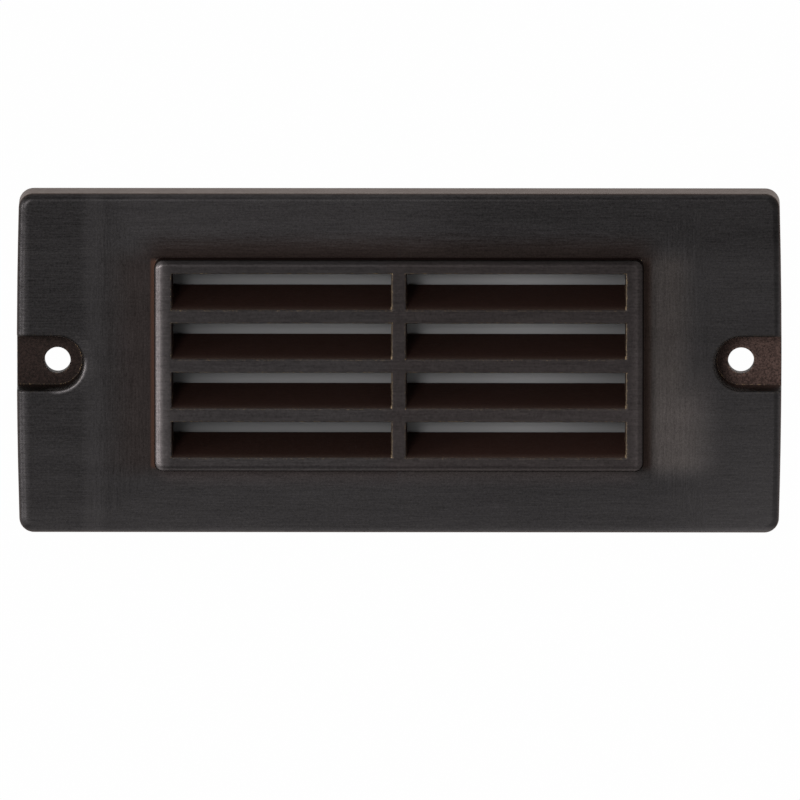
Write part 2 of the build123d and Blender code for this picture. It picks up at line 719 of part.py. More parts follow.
first_chip_x = cover_x + lamp_spigot_length + chip_end_gap + chip_size / 2
chip_places = [(first_chip_x + chip_pitch * number, 0) for number in range(chips_per_side)]
with BuildPart() as lamp_chips:
    for chip_foot, chip_side in (
        (lamp_axis_height + board_thickness / 2, 1),
        (lamp_axis_height - board_thickness / 2, -1),
    ):
        with BuildSketch(at_height(chip_foot)):
            with Locations(*chip_places):
                Rectangle(chip_size, chip_size)
        extrude(amount=chip_side * chip_thickness)
lamp_chips.part.label = "lamp_chips"
export_step(lamp_chips.part, "parts/lamp_chips.step")

dome_radius = lamp_cover_diameter / 2
with BuildPart() as lamp_cover:
    # half of the tube's section with its domed end, turned about the lamp's axis
    with BuildSketch(Plane.XY):
        with BuildLine():
            Line((cover_x, lamp_axis_y + dome_radius), (cover_x + tube_length, lamp_axis_y + dome_radius))
            RadiusArc(
                (cover_x + tube_length, lamp_axis_y + dome_radius),
                (cover_x + tube_length + dome_radius, lamp_axis_y),
                dome_radius,
            )
            Line(
                (cover_x + tube_length + dome_radius, lamp_axis_y),
                (cover_x + tube_length + dome_radius - lamp_cover_wall, lamp_axis_y),
            )
            RadiusArc(
                (cover_x + tube_length + dome_radius - lamp_cover_wall, lamp_axis_y),
                (cover_x + tube_length, lamp_axis_y + dome_radius - lamp_cover_wall),
                -(dome_radius - lamp_cover_wall),
            )
            Line(
                (cover_x + tube_length, lamp_axis_y + dome_radius - lamp_cover_wall),
                (cover_x, lamp_axis_y + dome_radius - lamp_cover_wall),
            )
            Line(
                (cover_x, lamp_axis_y + dome_radius - lamp_cover_wall),
                (cover_x, lamp_axis_y + dome_radius),
            )
        make_face()
    revolve(axis=Axis((0, lamp_axis_y, 0), (1, 0, 0)))
lamp_cover.part.label = "lamp_cover"
export_step(lamp_cover.part, "parts/lamp_cover.step")

# ---------------------------------------------------------------- terminal block
terminal_screw_xs = (terminal_x + terminal_screw_inset, terminal_x + terminal_length - terminal_screw_inset)
terminal_screw_places = [(x, z) for x in terminal_screw_xs for z in pole_places]
terminal_top = terminal_foot + terminal_height
with BuildPart() as terminal_block:
    with BuildSketch(at_height(terminal_foot)):
        with Locations((terminal_middle_x, 0)):
            Rectangle(terminal_length, terminal_width)
    extrude(amount=terminal_height)
    fillet(terminal_block.edges().filter_by(Axis.X).group_by(Axis.Y)[0], terminal_edge_radius)
    with BuildSketch(Plane.YZ.offset(terminal_x)):
        with Locations(*[(-clamp_height, z) for z in pole_places]):
            Circle(clamp_diameter / 2)
    extrude(amount=terminal_length, mode=Mode.SUBTRACT)
    with BuildSketch(at_height(terminal_top)):
        with Locations(*terminal_screw_places):
            Circle(terminal_well_diameter / 2)
    extrude(amount=clamp_height - terminal_top, mode=Mode.SUBTRACT)
    with BuildSketch(at_height(terminal_foot)):
        with Locations((terminal_middle_x, 0)):
            Circle(m3_diameter / 2 + hole_clearance)
    extrude(amount=terminal_height, mode=Mode.SUBTRACT)
terminal_block.part.label = "terminal_block"
export_step(terminal_block.part, "parts/terminal_block.step")

with BuildPart() as terminal_clamps:
    with BuildSketch(Plane.YZ.offset(terminal_x + clamp_end_gap)):
        with Locations(*[(-clamp_height, z) for z in pole_places]):
            Circle(clamp_diameter / 2)
            Circle(clamp_bore / 2, mode=Mode.SUBTRACT)
    extrude(amount=terminal_length - 2 * clamp_end_gap)
    with BuildSketch(at_height(clamp_height)):
        with Locations(*terminal_screw_places):
            Circle(clamp_screw_diameter / 2 + thread_clearance)
    extrude(amount=clamp_diameter, mode=Mode.SUBTRACT)
terminal_clamps.part.label = "terminal_clamps"
export_step(terminal_clamps.part, "parts/terminal_clamps.step")

with BuildPart() as terminal_screws:
    with BuildSketch(at_height(clamp_height + lead_diameter / 2 + lead_screw_gap)):
        with Locations(*terminal_screw_places):
            Circle(clamp_screw_diameter / 2)
    extrude(amount=terminal_screw_length)
    with BuildSketch(at_height(clamp_height + lead_diameter / 2 + lead_screw_gap + terminal_screw_length)):
        with Locations(*terminal_screw_places):
            Rectangle(clamp_screw_diameter, terminal_slot_width)
    extrude(amount=-terminal_slot_width, mode=Mode.SUBTRACT)
terminal_screws.part.label = "terminal_screws"
export_step(terminal_screws.part, "parts/terminal_screws.step")

m3_terminal_screw = pan_screw(
    m3_diameter, terminal_height + terminal_hole_depth - blind_depth_spare, m3_head_diameter, m3_head_height
)
with BuildPart() as terminal_block_screw:
    with Locations(facing_front(terminal_top, terminal_middle_x, 0)):
        add(m3_terminal_screw)
terminal_block_screw.part.label = "terminal_block_screw"
export_step(terminal_block_screw.part, "parts/terminal_block_screw.step")


# ---------------------------------------------------------------- leads from the block to the lampholder
def bend_radii(route):
    """Largest arc for each corner: 0.45 of its shorter run over the tangent of half the turn."""
    radii = []
    for before, corner, after in zip(route, route[1:], route[2:]):
        arriving = Vector(*corner) - Vector(*before)
        leaving = Vector(*after) - Vector(*corner)
        half_turn = math.radians(arriving.get_angle(leaving)) / 2
        radii.append(0.45 * min(arriving.length, leaving.length) / math.tan(half_turn))
    return radii


def lead_route(z):
    """Points of one lead: out of the block, through the grommet, up to its lampholder contact."""
    return [
        (terminal_x + lead_reach, -clamp_height, z),
        (lead_hole_x, -clamp_height, z),
        (lead_hole_x, -contact_level, z),
        (socket_x - holder_length - contact_tail, -contact_level, z),
    ]


lead_section = math.pi * lead_diameter**2 / 4
for lead_name, lead_z in (("lead_supply", pole_places[1]), ("lead_return", pole_places[0])):
    route = lead_route(lead_z)
    radii = bend_radii(route)
    with BuildPart() as lead:
        with BuildLine():
            lead_line = FilletPolyline(*route, radius=radii)
        with BuildSketch(Plane(origin=route[0], z_dir=(-1, 0, 0))):
            Circle(lead_diameter / 2)
        sweep()
    lead.part.label = lead_name
    export_step(lead.part, f"parts/{lead_name}.step")
    print(lead_name, "bend radii", [round(radius, 2) for radius in radii])
    print(lead_name, "length", round(lead_line.length, 1), "volume", round(lead.part.volume, 2))
    print(lead_name, "section x length", round(lead_section * lead_line.length, 2))

# ---------------------------------------------------------------- cable gland and the spare entry's plug
washer_back = hub_face - entry_washer_thickness
hex_back = washer_back - gland_hex_height
neck_back = hex_back - gland_neck_length
seal_front = hex_back - gland_seal_floor

with BuildPart() as gland_washer:
    with BuildSketch(at_height(hub_face)):
        with Locations((hub_x, 0)):
            Circle(entry_washer_diameter / 2)
            Circle(entry_thread_diameter / 2 + thread_clearance, mode=Mode.SUBTRACT)
    extrude(amount=-entry_washer_thickness)
gland_washer.part.label = "gland_washer"
export_step(gland_washer.part, "parts/gland_washer.step")

with BuildPart() as gland_body:
    with BuildSketch(at_height(washer_back)):
        with Locations((hub_x, 0)):
            Circle(entry_thread_diameter / 2)
    extrude(amount=entry_thread_length + entry_washer_thickness)
    with BuildSketch(at_height(washer_back)):
        with Locations((hub_x, 0)):
            RegularPolygon(gland_flats / 2, 6, major_radius=False)
    extrude(amount=-gland_hex_height)
    with BuildSketch(at_height(hex_back)):
        with Locations((hub_x, 0)):
            Circle(gland_neck_diameter / 2)
    extrude(amount=-gland_neck_length)
    with BuildSketch(at_height(neck_back)):
        with Locations((hub_x, 0)):
            Circle(gland_bore / 2)
    extrude(
        amount=gland_neck_length + gland_hex_height + entry_washer_thickness + entry_thread_length,
        mode=Mode.SUBTRACT,
    )
    with BuildSketch(at_height(neck_back)):
        with Locations((hub_x, 0)):
            Circle(gland_seal_diameter / 2)
    extrude(amount=seal_front - neck_back, mode=Mode.SUBTRACT)
gland_body.part.label = "gland_body"
export_step(gland_body.part, "parts/gland_body.step")

with BuildPart() as gland_seal:
    with BuildSketch(at_height(seal_front)):
        with Locations((hub_x, 0)):
            Circle(gland_seal_diameter / 2)
            Circle(gland_seal_bore / 2, mode=Mode.SUBTRACT)
    extrude(amount=-gland_seal_length)
gland_seal.part.label = "gland_seal"
export_step(gland_seal.part, "parts/gland_seal.step")

nut_front = hex_back - nut_gap
nut_shoulder = nut_front - nut_skirt
with BuildPart() as gland_nut:
    with BuildSketch(at_height(nut_front)):
        with Locations((hub_x, 0)):
            RegularPolygon(gland_flats / 2, 6, major_radius=False)
    extrude(amount=-nut_skirt)
    with BuildSketch(at_height(nut_shoulder)):
        with Locations((hub_x, 0)):
            Circle(gland_flats / 2)
    with BuildSketch(at_height(nut_shoulder - nut_dome)):
        with Locations((hub_x, 0)):
            Circle(nut_nose_diameter / 2)
    loft()
    fillet(gland_nut.edges().group_by(Axis.Y)[-1], nut_nose_radius)
    with BuildSketch(at_height(nut_front)):
        with Locations((hub_x, 0)):
            Circle(gland_neck_diameter / 2 + nut_clearance)
    extrude(amount=-nut_skirt, mode=Mode.SUBTRACT)
    with BuildSketch(at_height(nut_shoulder)):
        with Locations((hub_x, 0)):
            Circle(nut_mouth_diameter / 2)
    extrude(amount=-nut_dome, mode=Mode.SUBTRACT)
gland_nut.part.label = "gland_nut"
export_step(gland_nut.part, "parts/gland_nut.step")

with BuildPart() as entry_plug_oring:
    with BuildSketch(at_height(hub_face)):
        with Locations((-hub_x, 0)):
            Circle(plug_head_diameter / 2 - plug_oring_inset)
            Circle(entry_thread_diameter / 2 + thread_clearance, mode=Mode.SUBTRACT)
    extrude(amount=-entry_washer_thickness)
    fillet(entry_plug_oring.edges(), entry_washer_thickness * 0.4)
entry_plug_oring.part.label = "entry_plug_oring"
export_step(entry_plug_oring.part, "parts/entry_plug_oring.step")

with BuildPart() as entry_plug:
    with BuildSketch(at_height(washer_back)):
        with Locations((-hub_x, 0)):
            Circle(entry_thread_diameter / 2)
    extrude(amount=entry_thread_length + entry_washer_thickness)
    with BuildSketch(at_height(washer_back)):
        with Locations((-hub_x, 0)):
            Circle(plug_head_diameter / 2)
    extrude(amount=-plug_head_height)
    fillet(entry_plug.edges().group_by(Axis.Y)[-1], plug_head_radius)
    with BuildSketch(at_height(washer_back - plug_head_height)):
        with Locations((-hub_x, 0)):
            Rectangle(plug_slot_length, plug_slot_width)
    extrude(amount=plug_slot_depth, mode=Mode.SUBTRACT)
entry_plug.part.label = "entry_plug"
export_step(entry_plug.part, "parts/entry_plug.step")
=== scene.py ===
import logging
import math
from dataclasses import dataclass
from enum import Enum
from functools import cache, partial, reduce

import bpy
import numpy as np
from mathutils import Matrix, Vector


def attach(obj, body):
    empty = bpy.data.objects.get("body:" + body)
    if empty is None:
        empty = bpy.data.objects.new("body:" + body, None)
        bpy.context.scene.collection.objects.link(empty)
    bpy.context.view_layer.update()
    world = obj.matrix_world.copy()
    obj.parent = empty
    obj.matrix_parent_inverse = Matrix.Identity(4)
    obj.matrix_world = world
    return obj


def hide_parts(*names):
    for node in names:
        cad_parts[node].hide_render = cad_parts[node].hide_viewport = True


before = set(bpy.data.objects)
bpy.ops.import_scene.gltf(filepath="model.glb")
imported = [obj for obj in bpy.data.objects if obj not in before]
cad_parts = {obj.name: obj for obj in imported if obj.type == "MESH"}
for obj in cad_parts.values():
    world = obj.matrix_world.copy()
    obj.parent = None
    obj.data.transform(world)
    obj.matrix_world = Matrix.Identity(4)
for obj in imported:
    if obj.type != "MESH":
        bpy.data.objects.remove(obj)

log = logging.getLogger("step_light")

# Louvred step light. Metres, +Z up, the light shines toward -Y, wall plane at Y = 0.
# Colours are linear. Lengths inside materials and skins are millimetres.

Colour = tuple[float, float, float]
Node = bpy.types.Node
Socket = bpy.types.NodeSocket
Value = Socket | float | Colour
Edge = tuple[Socket | float, ...]
MM = 0.001
SHARP_DEGREES = 35.0  # edges that bend by more than this are shaded sharp
THREAD_ROWS = 6  # rows of points in each turn of a thread
THREAD_DEPTH = 0.55  # depth of a thread over its pitch


def toned(colour: Colour, share: float) -> Colour:
    """The colour times a share, each part held at 1."""
    return tuple(min(1.0, share * part) for part in colour)


# ------------------------------------------------------------------ shader trees
class Bench:
    """Adds nodes to one shader tree and joins them."""

    def __init__(self, tree: bpy.types.NodeTree) -> None:
        """Work on this tree."""
        self.tree = tree

    def feed(self, socket: Socket, value: Value) -> None:
        """Link a socket to another one, or set it to a plain value.

        Args:
            socket: The input.
            value: A socket, a number or a colour.
        """
        if isinstance(value, bpy.types.NodeSocket):
            self.tree.links.new(value, socket)
        elif socket.type == "RGBA" and len(value) == 3:
            socket.default_value = (*value, 1.0)
        else:
            socket.default_value = value

    def node(self, kind: str, inputs: dict[int | str, Value] | None = None, **settings: object) -> Node:
        """Add one node.

        Args:
            kind: Blender's type name of the node.
            inputs: What its inputs get, by their places or names.
            settings: Values for the node's own properties.

        Returns:
            The new node.
        """
        made = self.tree.nodes.new(kind)
        for name, value in settings.items():
            setattr(made, name, value)
        for key, value in (inputs or {}).items():
            self.feed(made.inputs[key], value)
        return made

    def maths(self, operation: str, first: Value, second: Value = 0.0, clamp: bool = False) -> Socket:
        """One Math node's result, held between 0 and 1 if clamp is set."""
        made = self.node("ShaderNodeMath", {0: first, 1: second}, operation=operation, use_clamp=clamp)
        return made.outputs[0]

    def product(self, *factors: Value) -> Socket:
        """Product of the values."""
        return reduce(partial(self.maths, "MULTIPLY"), factors)

    def add(self, *values: Value) -> Socket:
        """Sum of the values."""
        return reduce(partial(self.maths, "ADD"), values)

    def most(self, *values: Value) -> Socket:
        """Greatest of the values."""
        return reduce(partial(self.maths, "MAXIMUM"), values)

    def less(self, first: Value, second: Value) -> Socket:
        """The first value minus the second."""
        return self.maths("SUBTRACT", first, second)

    def rest(self, value: Value) -> Socket:
        """One minus the value."""
        return self.less(1.0, value)

    def size(self, value: Value) -> Socket:
        """The value without its sign."""
        return self.maths("ABSOLUTE", value)

    def distance(self, first: Value, second: Value) -> Socket:
        """Root of the sum of both squares."""
        return self.maths("SQRT", self.add(self.product(first, first), self.product(second, second)))

    def contrasted(self, value: Value, contrast: Value) -> Socket:
        """The value with its distance from a half multiplied, held between 0 and 1."""
        return self.maths("ADD", self.product(self.less(value, 0.5), contrast), 0.5, clamp=True)

    def step(self, value: Value, start: float, end: float, low: float = 0.0, high: float = 1.0) -> Socket:
        """Smooth step: low where the value is at start or before, high where it is at end or past it.

        Args:
            value: The value that is graded.
            start: Where the step begins.
            end: Where it ends, below start for a falling step.
            low: Result at start.
            high: Result at end.

        Returns:
            The graded value.
        """
        if end < start:
            start, end, low, high = end, start, high, low
        limits = dict(enumerate((value, start, end, low, high)))
        return self.node("ShaderNodeMapRange", limits, interpolation_type="SMOOTHSTEP").outputs[0]

    def zone(self, *edges: Edge) -> Socket:
        """Product of smooth steps, each given by its value, start, end and, where needed, low and high."""
        return self.product(*(self.step(*edge) for edge in edges))

    def blend(self, factor: Value, first: Value, second: Value, way: str = "MIX") -> Socket:
        """The first colour with a share of the second mixed in, by a blend type."""
        mixed = self.node("ShaderNodeMix", {0: factor, 6: first, 7: second}, data_type="RGBA", blend_type=way)
        return mixed.outputs[2]

    def tinted(self, share: Value, colour: Value, tint: Value) -> Socket:
        """The colour with a share of its product with the tint."""
        return self.blend(share, colour, tint, "MULTIPLY")

    def between(self, factor: Value, first: Value, second: Value) -> Socket:
        """The first number with a share of the second."""
        return self.node("ShaderNodeMix", {0: factor, 2: first, 3: second}, data_type="FLOAT").outputs[0]

    def shaded(self, colour: Value, share: Value) -> Socket:
        """Colour or vector times a number."""
        return self.node("ShaderNodeVectorMath", {0: colour, "Scale": share}, operation="SCALE").outputs[0]

    def stretched(self, vector: Value, scale: Colour, offset: Colour = (0.0, 0.0, 0.0)) -> Socket:
        """Vector times scale plus offset."""
        made = self.node("ShaderNodeVectorMath", {0: vector, 1: scale, 2: offset}, operation="MULTIPLY_ADD")
        return made.outputs[0]

    def noise(self, vector: Value, scale: float, detail: float, roughness: float) -> Socket:
        """Noise from 0 to 1 with its centre at one half."""
        inputs = {"Vector": vector, "Scale": scale, "Detail": detail, "Roughness": roughness}
        return self.node("ShaderNodeTexNoise", inputs).outputs["Fac"]

    def split(self, vector: Value) -> tuple[Socket, Socket, Socket]:
        """The three parts of a vector."""
        return tuple(self.node("ShaderNodeSeparateXYZ", {0: vector}).outputs)


class Effect:
    """The shared shader effects, each kept as one node group that is built once."""

    @staticmethod
    def start(name: str, inputs: dict[str, float | None], outputs: dict[str, str]) -> tuple[Bench, dict, Node]:
        """Start a node group with named sockets.

        Args:
            name: The group's name.
            inputs: Socket name to its default; None makes a vector.
            outputs: Socket name to its kind, Float or Vector.

        Returns:
            The group's bench, its inputs by name, and its output node.
        """
        tree = bpy.data.node_groups.new(name, "ShaderNodeTree")
        for label, value in inputs.items():
            kind = "NodeSocketVector" if value is None else "NodeSocketFloat"
            made = tree.interface.new_socket(label, in_out="INPUT", socket_type=kind)
            if value is not None:
                made.default_value = value
        for label, kind in outputs.items():
            tree.interface.new_socket(label, in_out="OUTPUT", socket_type="NodeSocket" + kind)
        bench = Bench(tree)
        given = bench.node("NodeGroupInput").outputs
        return bench, {label: given[label] for label in inputs}, bench.node("NodeGroupOutput")

    @staticmethod
    @cache
    def grain() -> bpy.types.NodeTree:
        """Cast or moulded grain: two sizes of noise, as a height and as a speckle mask.

        Returns:
            The group.
        """
        inputs = {"Place": None, "Pitch": 1.0, "Contrast": 2.0}
        bench, given, result = Effect.start("grain", inputs, {"Height": "Float", "Speckle": "Float"})
        scaled = bench.shaded(given["Place"], bench.maths("DIVIDE", 1.0, given["Pitch"]))
        coarse = bench.noise(scaled, 0.45, 3.0, 0.6)
        fine = bench.noise(scaled, 1.6, 2.0, 0.5)
        height = bench.add(bench.product(coarse, 0.6), bench.product(fine, 0.4))
        bench.feed(result.inputs["Height"], height)
        bench.feed(result.inputs["Speckle"], bench.contrasted(height, given["Contrast"]))
        return bench.tree

    @staticmethod
    @cache
    def brushing() -> bpy.types.NodeTree:
        """Brush marks: noise drawn out along the first axis of Place, in fine, medium and broad strokes.

        Returns:
            The group.
        """
        inputs = {"Place": None, "Contrast": 1.5}
        bench, given, result = Effect.start("brushing", inputs, {"Stroke": "Float", "Broad": "Float"})
        place = given["Place"]
        fine = bench.noise(bench.stretched(place, (0.42, 3.6, 0.5)), 1.0, 3.0, 0.75)
        medium = bench.noise(bench.stretched(place, (0.08, 1.7, 0.2), (7.0, 3.0, 1.0)), 1.0, 2.0, 0.6)
        broad = bench.noise(bench.stretched(place, (0.022, 0.16, 0.05), (2.0, 9.0, 4.0)), 1.0, 2.0, 0.5)
        both = bench.add(bench.product(fine, 0.62), bench.product(medium, 0.38))
        bench.feed(result.inputs["Stroke"], bench.contrasted(both, given["Contrast"]))
        bench.feed(result.inputs["Broad"], broad)
        return bench.tree

    @staticmethod
    @cache
    def worn_edge() -> bpy.types.NodeTree:
        """Edge mask and softened normal: the mask is how far a rounded normal turns from the true one.

        Returns:
            The group.
        """
        inputs = {"Radius": 0.4, "Strength": 6.0}
        bench, given, result = Effect.start("worn_edge", inputs, {"Edge": "Float", "Normal": "Vector"})
        radius = bench.product(given["Radius"], MM)
        rounded = bench.node("ShaderNodeBevel", {"Radius": radius}, samples=4).outputs[0]
        true = bench.node("ShaderNodeNewGeometry").outputs["Normal"]
        turn = bench.node("ShaderNodeVectorMath", {0: rounded, 1: true}, operation="DOT_PRODUCT")
        away = bench.rest(turn.outputs["Value"])
        bench.feed(result.inputs["Edge"], bench.maths("MULTIPLY", away, given["Strength"], clamp=True))
        bench.feed(result.inputs["Normal"], rounded)
        return bench.tree


class Run(Enum):
    """Which way brush or draw marks run; the value orders x, y and z so that the run comes first."""

    ALONG_X = (0, 2, 1)
    ALONG_Z = (2, 0, 1)


class Surface(Bench):
    """The bench of one material, with its Principled shader and each point's place in millimetres."""

    def __init__(self, name: str) -> None:
        """Start the material.

        Args:
            name: The material's name.
        """
        self.material = bpy.data.materials.new(name)
        self.material.use_nodes = True
        self.material.node_tree.nodes.clear()
        super().__init__(self.material.node_tree)
        self.shader = self.node("ShaderNodeBsdfPrincipled")
        self.node("ShaderNodeOutputMaterial", {"Surface": self.shader.outputs["BSDF"]})
        self.place = self.stretched(self.node("ShaderNodeTexCoord").outputs["Object"], (1.0 / MM,) * 3)

    def grain(self, pitch: float, contrast: float) -> Node:
        """Grain of this pitch in millimetres."""
        inputs = {"Place": self.place, "Pitch": pitch, "Contrast": contrast}
        return self.node("ShaderNodeGroup", inputs, node_tree=Effect.grain())

    def brushing(self, run: Run, contrast: float) -> Node:
        """Brush marks along one axis.

        Args:
            run: Which way the marks run.
            contrast: How far their lights and darks lie apart.

        Returns:
            The placed effect.
        """
        parts = self.split(self.place)
        turned = self.node("ShaderNodeCombineXYZ", {new: parts[old] for new, old in enumerate(run.value)})
        inputs = {"Place": turned.outputs[0], "Contrast": contrast}
        return self.node("ShaderNodeGroup", inputs, node_tree=Effect.brushing())

    def worn_edge(self, radius: float, strength: float) -> Node:
        """Worn edges of this radius in millimetres."""
        inputs = {"Radius": radius, "Strength": strength}
        return self.node("ShaderNodeGroup", inputs, node_tree=Effect.worn_edge())

    def bump(self, height: Socket, depth: float, normal: Socket | None = None) -> Socket:
        """Bump normal of a height of 0 to 1.

        Args:
            height: The height's socket.
            depth: Millimetres from height 0 to height 1.
            normal: Normal that the bump is added to.

        Returns:
            The normal's socket.
        """
        inputs = {"Strength": 1.0, "Distance": depth * MM, "Height": height}
        if normal is not None:
            inputs["Normal"] = normal
        return self.node("ShaderNodeBump", inputs).outputs["Normal"]

    def finished(self, inputs: dict[str, Value]) -> bpy.types.Material:
        """Fill the Principled shader's inputs.

        Args:
            inputs: What they get, by their names.

        Returns:
            The material.
        """
        for name, value in inputs.items():
            self.feed(self.shader.inputs[name], value)
        return self.material


# ------------------------------------------------------------------ finishes
class RubbedBronze(Surface):
    """Dark bronze plate: brushed neutral faces, warm patina round the louvre, dark hollows, bright worn edges,
    and painted highlights and shade.

    Its zones are bounded by smooth steps over lengths in millimetres: x, z, their sizes (across and
    level), the height before the wall, the depth behind the frame's face (sunk), and how far a
    point lies past the frame's edges (past, right of, left of, over and under them).
    """

    BRUSHED = (0.0195, 0.0181, 0.0184)
    BLADE = (0.0150, 0.0072, 0.0056)
    # the blades' lips, lighter than the blades deeper in, as painted shade
    BLADE_LIP = (0.0250, 0.0150, 0.0120)
    # painted highlight on the mouth of each slot's right end wall
    SLOT_END_HIGHLIGHT = (0.40, 0.30, 0.19)
    RECESS = (0.0365, 0.0225, 0.0190)
    FOOT_LINE = (0.0085, 0.0058, 0.0054)
    COPPERY_FOOT = (0.0400, 0.0208, 0.0150)
    RUBBED_EDGE = (0.30, 0.27, 0.24)
    BARE_BRASS = (0.52, 0.36, 0.17)
    AT_A_SLANT = (0.76, 0.67, 0.63)
    TINT_ABOVE = (0.72, 0.585, 0.53)
    TINT_LEFT = (0.84, 0.735, 0.69)
    TINT_RIGHT = (1.0, 0.94, 0.88)
    # painted shadow of the frame on the plate at its right
    SHADOW_RIGHT_OF_FRAME = (0.94, 0.74, 0.66)
    # painted light: lightens the plate just beneath the frame
    LIGHT_BENEATH_FRAME = (1.50, 1.38, 1.36)
    TINT_FRAME = (1.03, 0.94, 0.91)

    PLATE_X, PLATE_Z = 117.5, 52.5
    PAN_X, PAN_Z = 113.8, 49.6
    FRAME_X, FRAME_Z = 75.0, 32.6
    FIELD_X, FIELD_Z = 69.65, 28.3
    MIDDLE_BAR_X = 2.15
    PAN_FLOOR, FACE, FRAME_FACE = 13.0, 16.0, 23.0
    RECESS_X, RECESS_Z, RECESS_RADIUS = 96.0, 8.6, 8.4
    HOLE_X, HOLE_RADIUS = 105.0, 4.0

    def __init__(self) -> None:
        """Start the material and work out what its zones and colours read."""
        super().__init__("rubbed_bronze")
        self.x, y, self.z = self.split(self.place)
        self.height = self.product(y, -1.0)
        self.across, self.level = self.size(self.x), self.size(self.z)
        self.sunk = self.less(self.FRAME_FACE, self.height)
        self.past_x, self.past_z = self.less(self.across, self.FRAME_X), self.less(self.level, self.FRAME_Z)
        self.right_of, self.over = self.less(self.x, self.FRAME_X), self.less(self.z, self.FRAME_Z)
        self.left_of, self.under = self.less(-self.FRAME_X, self.x), self.less(-self.FRAME_Z, self.z)
        cast = self.grain(0.27, 4.6)
        self.pocks, self.speckle = cast.outputs["Height"], cast.outputs["Speckle"]
        self.slots = self.zone(
            (self.across, self.FIELD_X + 0.5, self.FIELD_X), (self.level, self.FIELD_Z + 0.5, self.FIELD_Z),
            (self.sunk, 0.1, 0.35),
        )
        self.stroke, self.cloud = self.strokes()

    def strokes(self) -> tuple[Socket, Socket]:
        """Brush marks: along X on the outer bands, along Z beside the frame, mitred at its corners.

        Returns:
            The marks, and the broad clouds among those along X.
        """
        along_x, along_z = (self.brushing(run, 2.2).outputs for run in (Run.ALONG_X, Run.ALONG_Z))
        wavered = self.add(self.across, self.product(self.less(along_z["Broad"], 0.5), 8.0))
        mitre = self.less(self.past_z, self.past_x)
        beside = self.zone((wavered, 97.0, 91.0), (self.past_x, -0.2, 0.5), (mitre, 2.5, -1.0))
        return self.between(beside, along_x["Stroke"], along_z["Stroke"]), along_x["Broad"]

    def casting(self) -> Socket:
        """Mask of the rough casting in the screw recesses and at the back.

        Returns:
            The mask.
        """
        recess = self.zone(
            (self.across, self.RECESS_X, self.RECESS_X + 0.3), (self.level, self.RECESS_Z + 0.2, self.RECESS_Z),
            (self.height, self.FACE - 0.35, self.FACE - 1.0),
        )
        behind = self.zone(
            (self.height, self.PAN_FLOOR + 0.6, self.PAN_FLOOR + 0.2),
            (self.across, self.PAN_X + 0.4, self.PAN_X), (self.level, self.PAN_Z + 0.3, self.PAN_Z),
        )
        return self.product(self.most(recess, behind), self.rest(self.slots))

    def tone(self) -> Socket:
        """Brightness of the rub: marks, grain and clouds, plus painted reflections and a painted glint, less
        painted shade.

        Returns:
            The factor on the brushed colour.
        """
        speckle = self.grain(0.30, 2.4).outputs["Speckle"]
        marks = self.add(
            self.product(self.stroke, 0.66), self.product(speckle, 0.70), self.product(self.cloud, 0.36), 0.15
        )
        # painted reflection: lighter towards the lower right and the bottom, with a painted glint beside the left
        # recess's end
        lower_right = self.zone((self.x, 70.0, 112.0), (self.z, 8.0, -46.0, 0.0, 0.55))
        painted_glint = self.zone((self.x, -98.5, -95.0), (self.x, -89.0, -93.0, 0.0, 0.22))
        bottom = self.step(self.z, -36.0, -51.0, 0.0, 0.16)
        # painted shade: darker at the left end, the upper right and the right end
        left_end = self.zone((self.x, -78.0, -100.0), (self.z, -35.0, 5.0, 0.15, 0.33))
        upper_right = self.zone((self.x, 0.0, 26.0), (self.z, 27.0, 40.0, 0.0, 0.24))
        right_end = self.zone((self.x, 84.0, 104.0), (self.z, 30.0, 10.0, 0.0, 0.08))
        painted_shade = self.add(left_end, upper_right, right_end)
        return self.less(self.add(marks, lower_right, painted_glint, bottom), painted_shade)

    def patina(self, colour: Socket) -> Socket:
        """Warm tint round the frame, darkest above it, and a painted reflection that lightens the band on its
        right.

        Args:
            colour: The brushed colour.

        Returns:
            The tinted colour.
        """
        on_face = self.step(self.height, self.FACE + 1.2, self.FACE + 0.3)
        fray = self.product(self.less(self.stroke, 0.5), 4.0)
        above, aside = self.add(self.over, fray), self.add(self.past_x, fray)
        top = self.zone((above, 9.0, 2.5, 0.0, 0.95), (self.past_x, 8.0, -4.0), (self.over, -1.0, 0.0))
        colour = self.tinted(self.product(top, on_face), colour, self.TINT_ABOVE)
        beside = self.product(self.step(self.past_z, 5.0, -3.0), on_face)
        left = self.product(self.zone((aside, 19.0, 5.0), (self.x, 0.0, -1.0)), beside)
        colour = self.tinted(left, colour, self.TINT_LEFT)
        band = self.most(self.step(aside, 18.5, 8.5), self.zone((aside, 26.0, 11.0), (self.z, 6.0, -16.0)))
        right = self.product(band, self.step(self.x, 0.0, 1.0), beside)
        # painted reflection: the band right of the frame lightened, more so lower down
        painted_sheen = self.zone((self.past_x, 1.6, 5.0), (self.z, 10.0, -18.0, 0.50, 1.12))
        colour = self.tinted(right, colour, self.TINT_RIGHT)
        return self.shaded(colour, self.add(1.0, self.product(right, painted_sheen)))

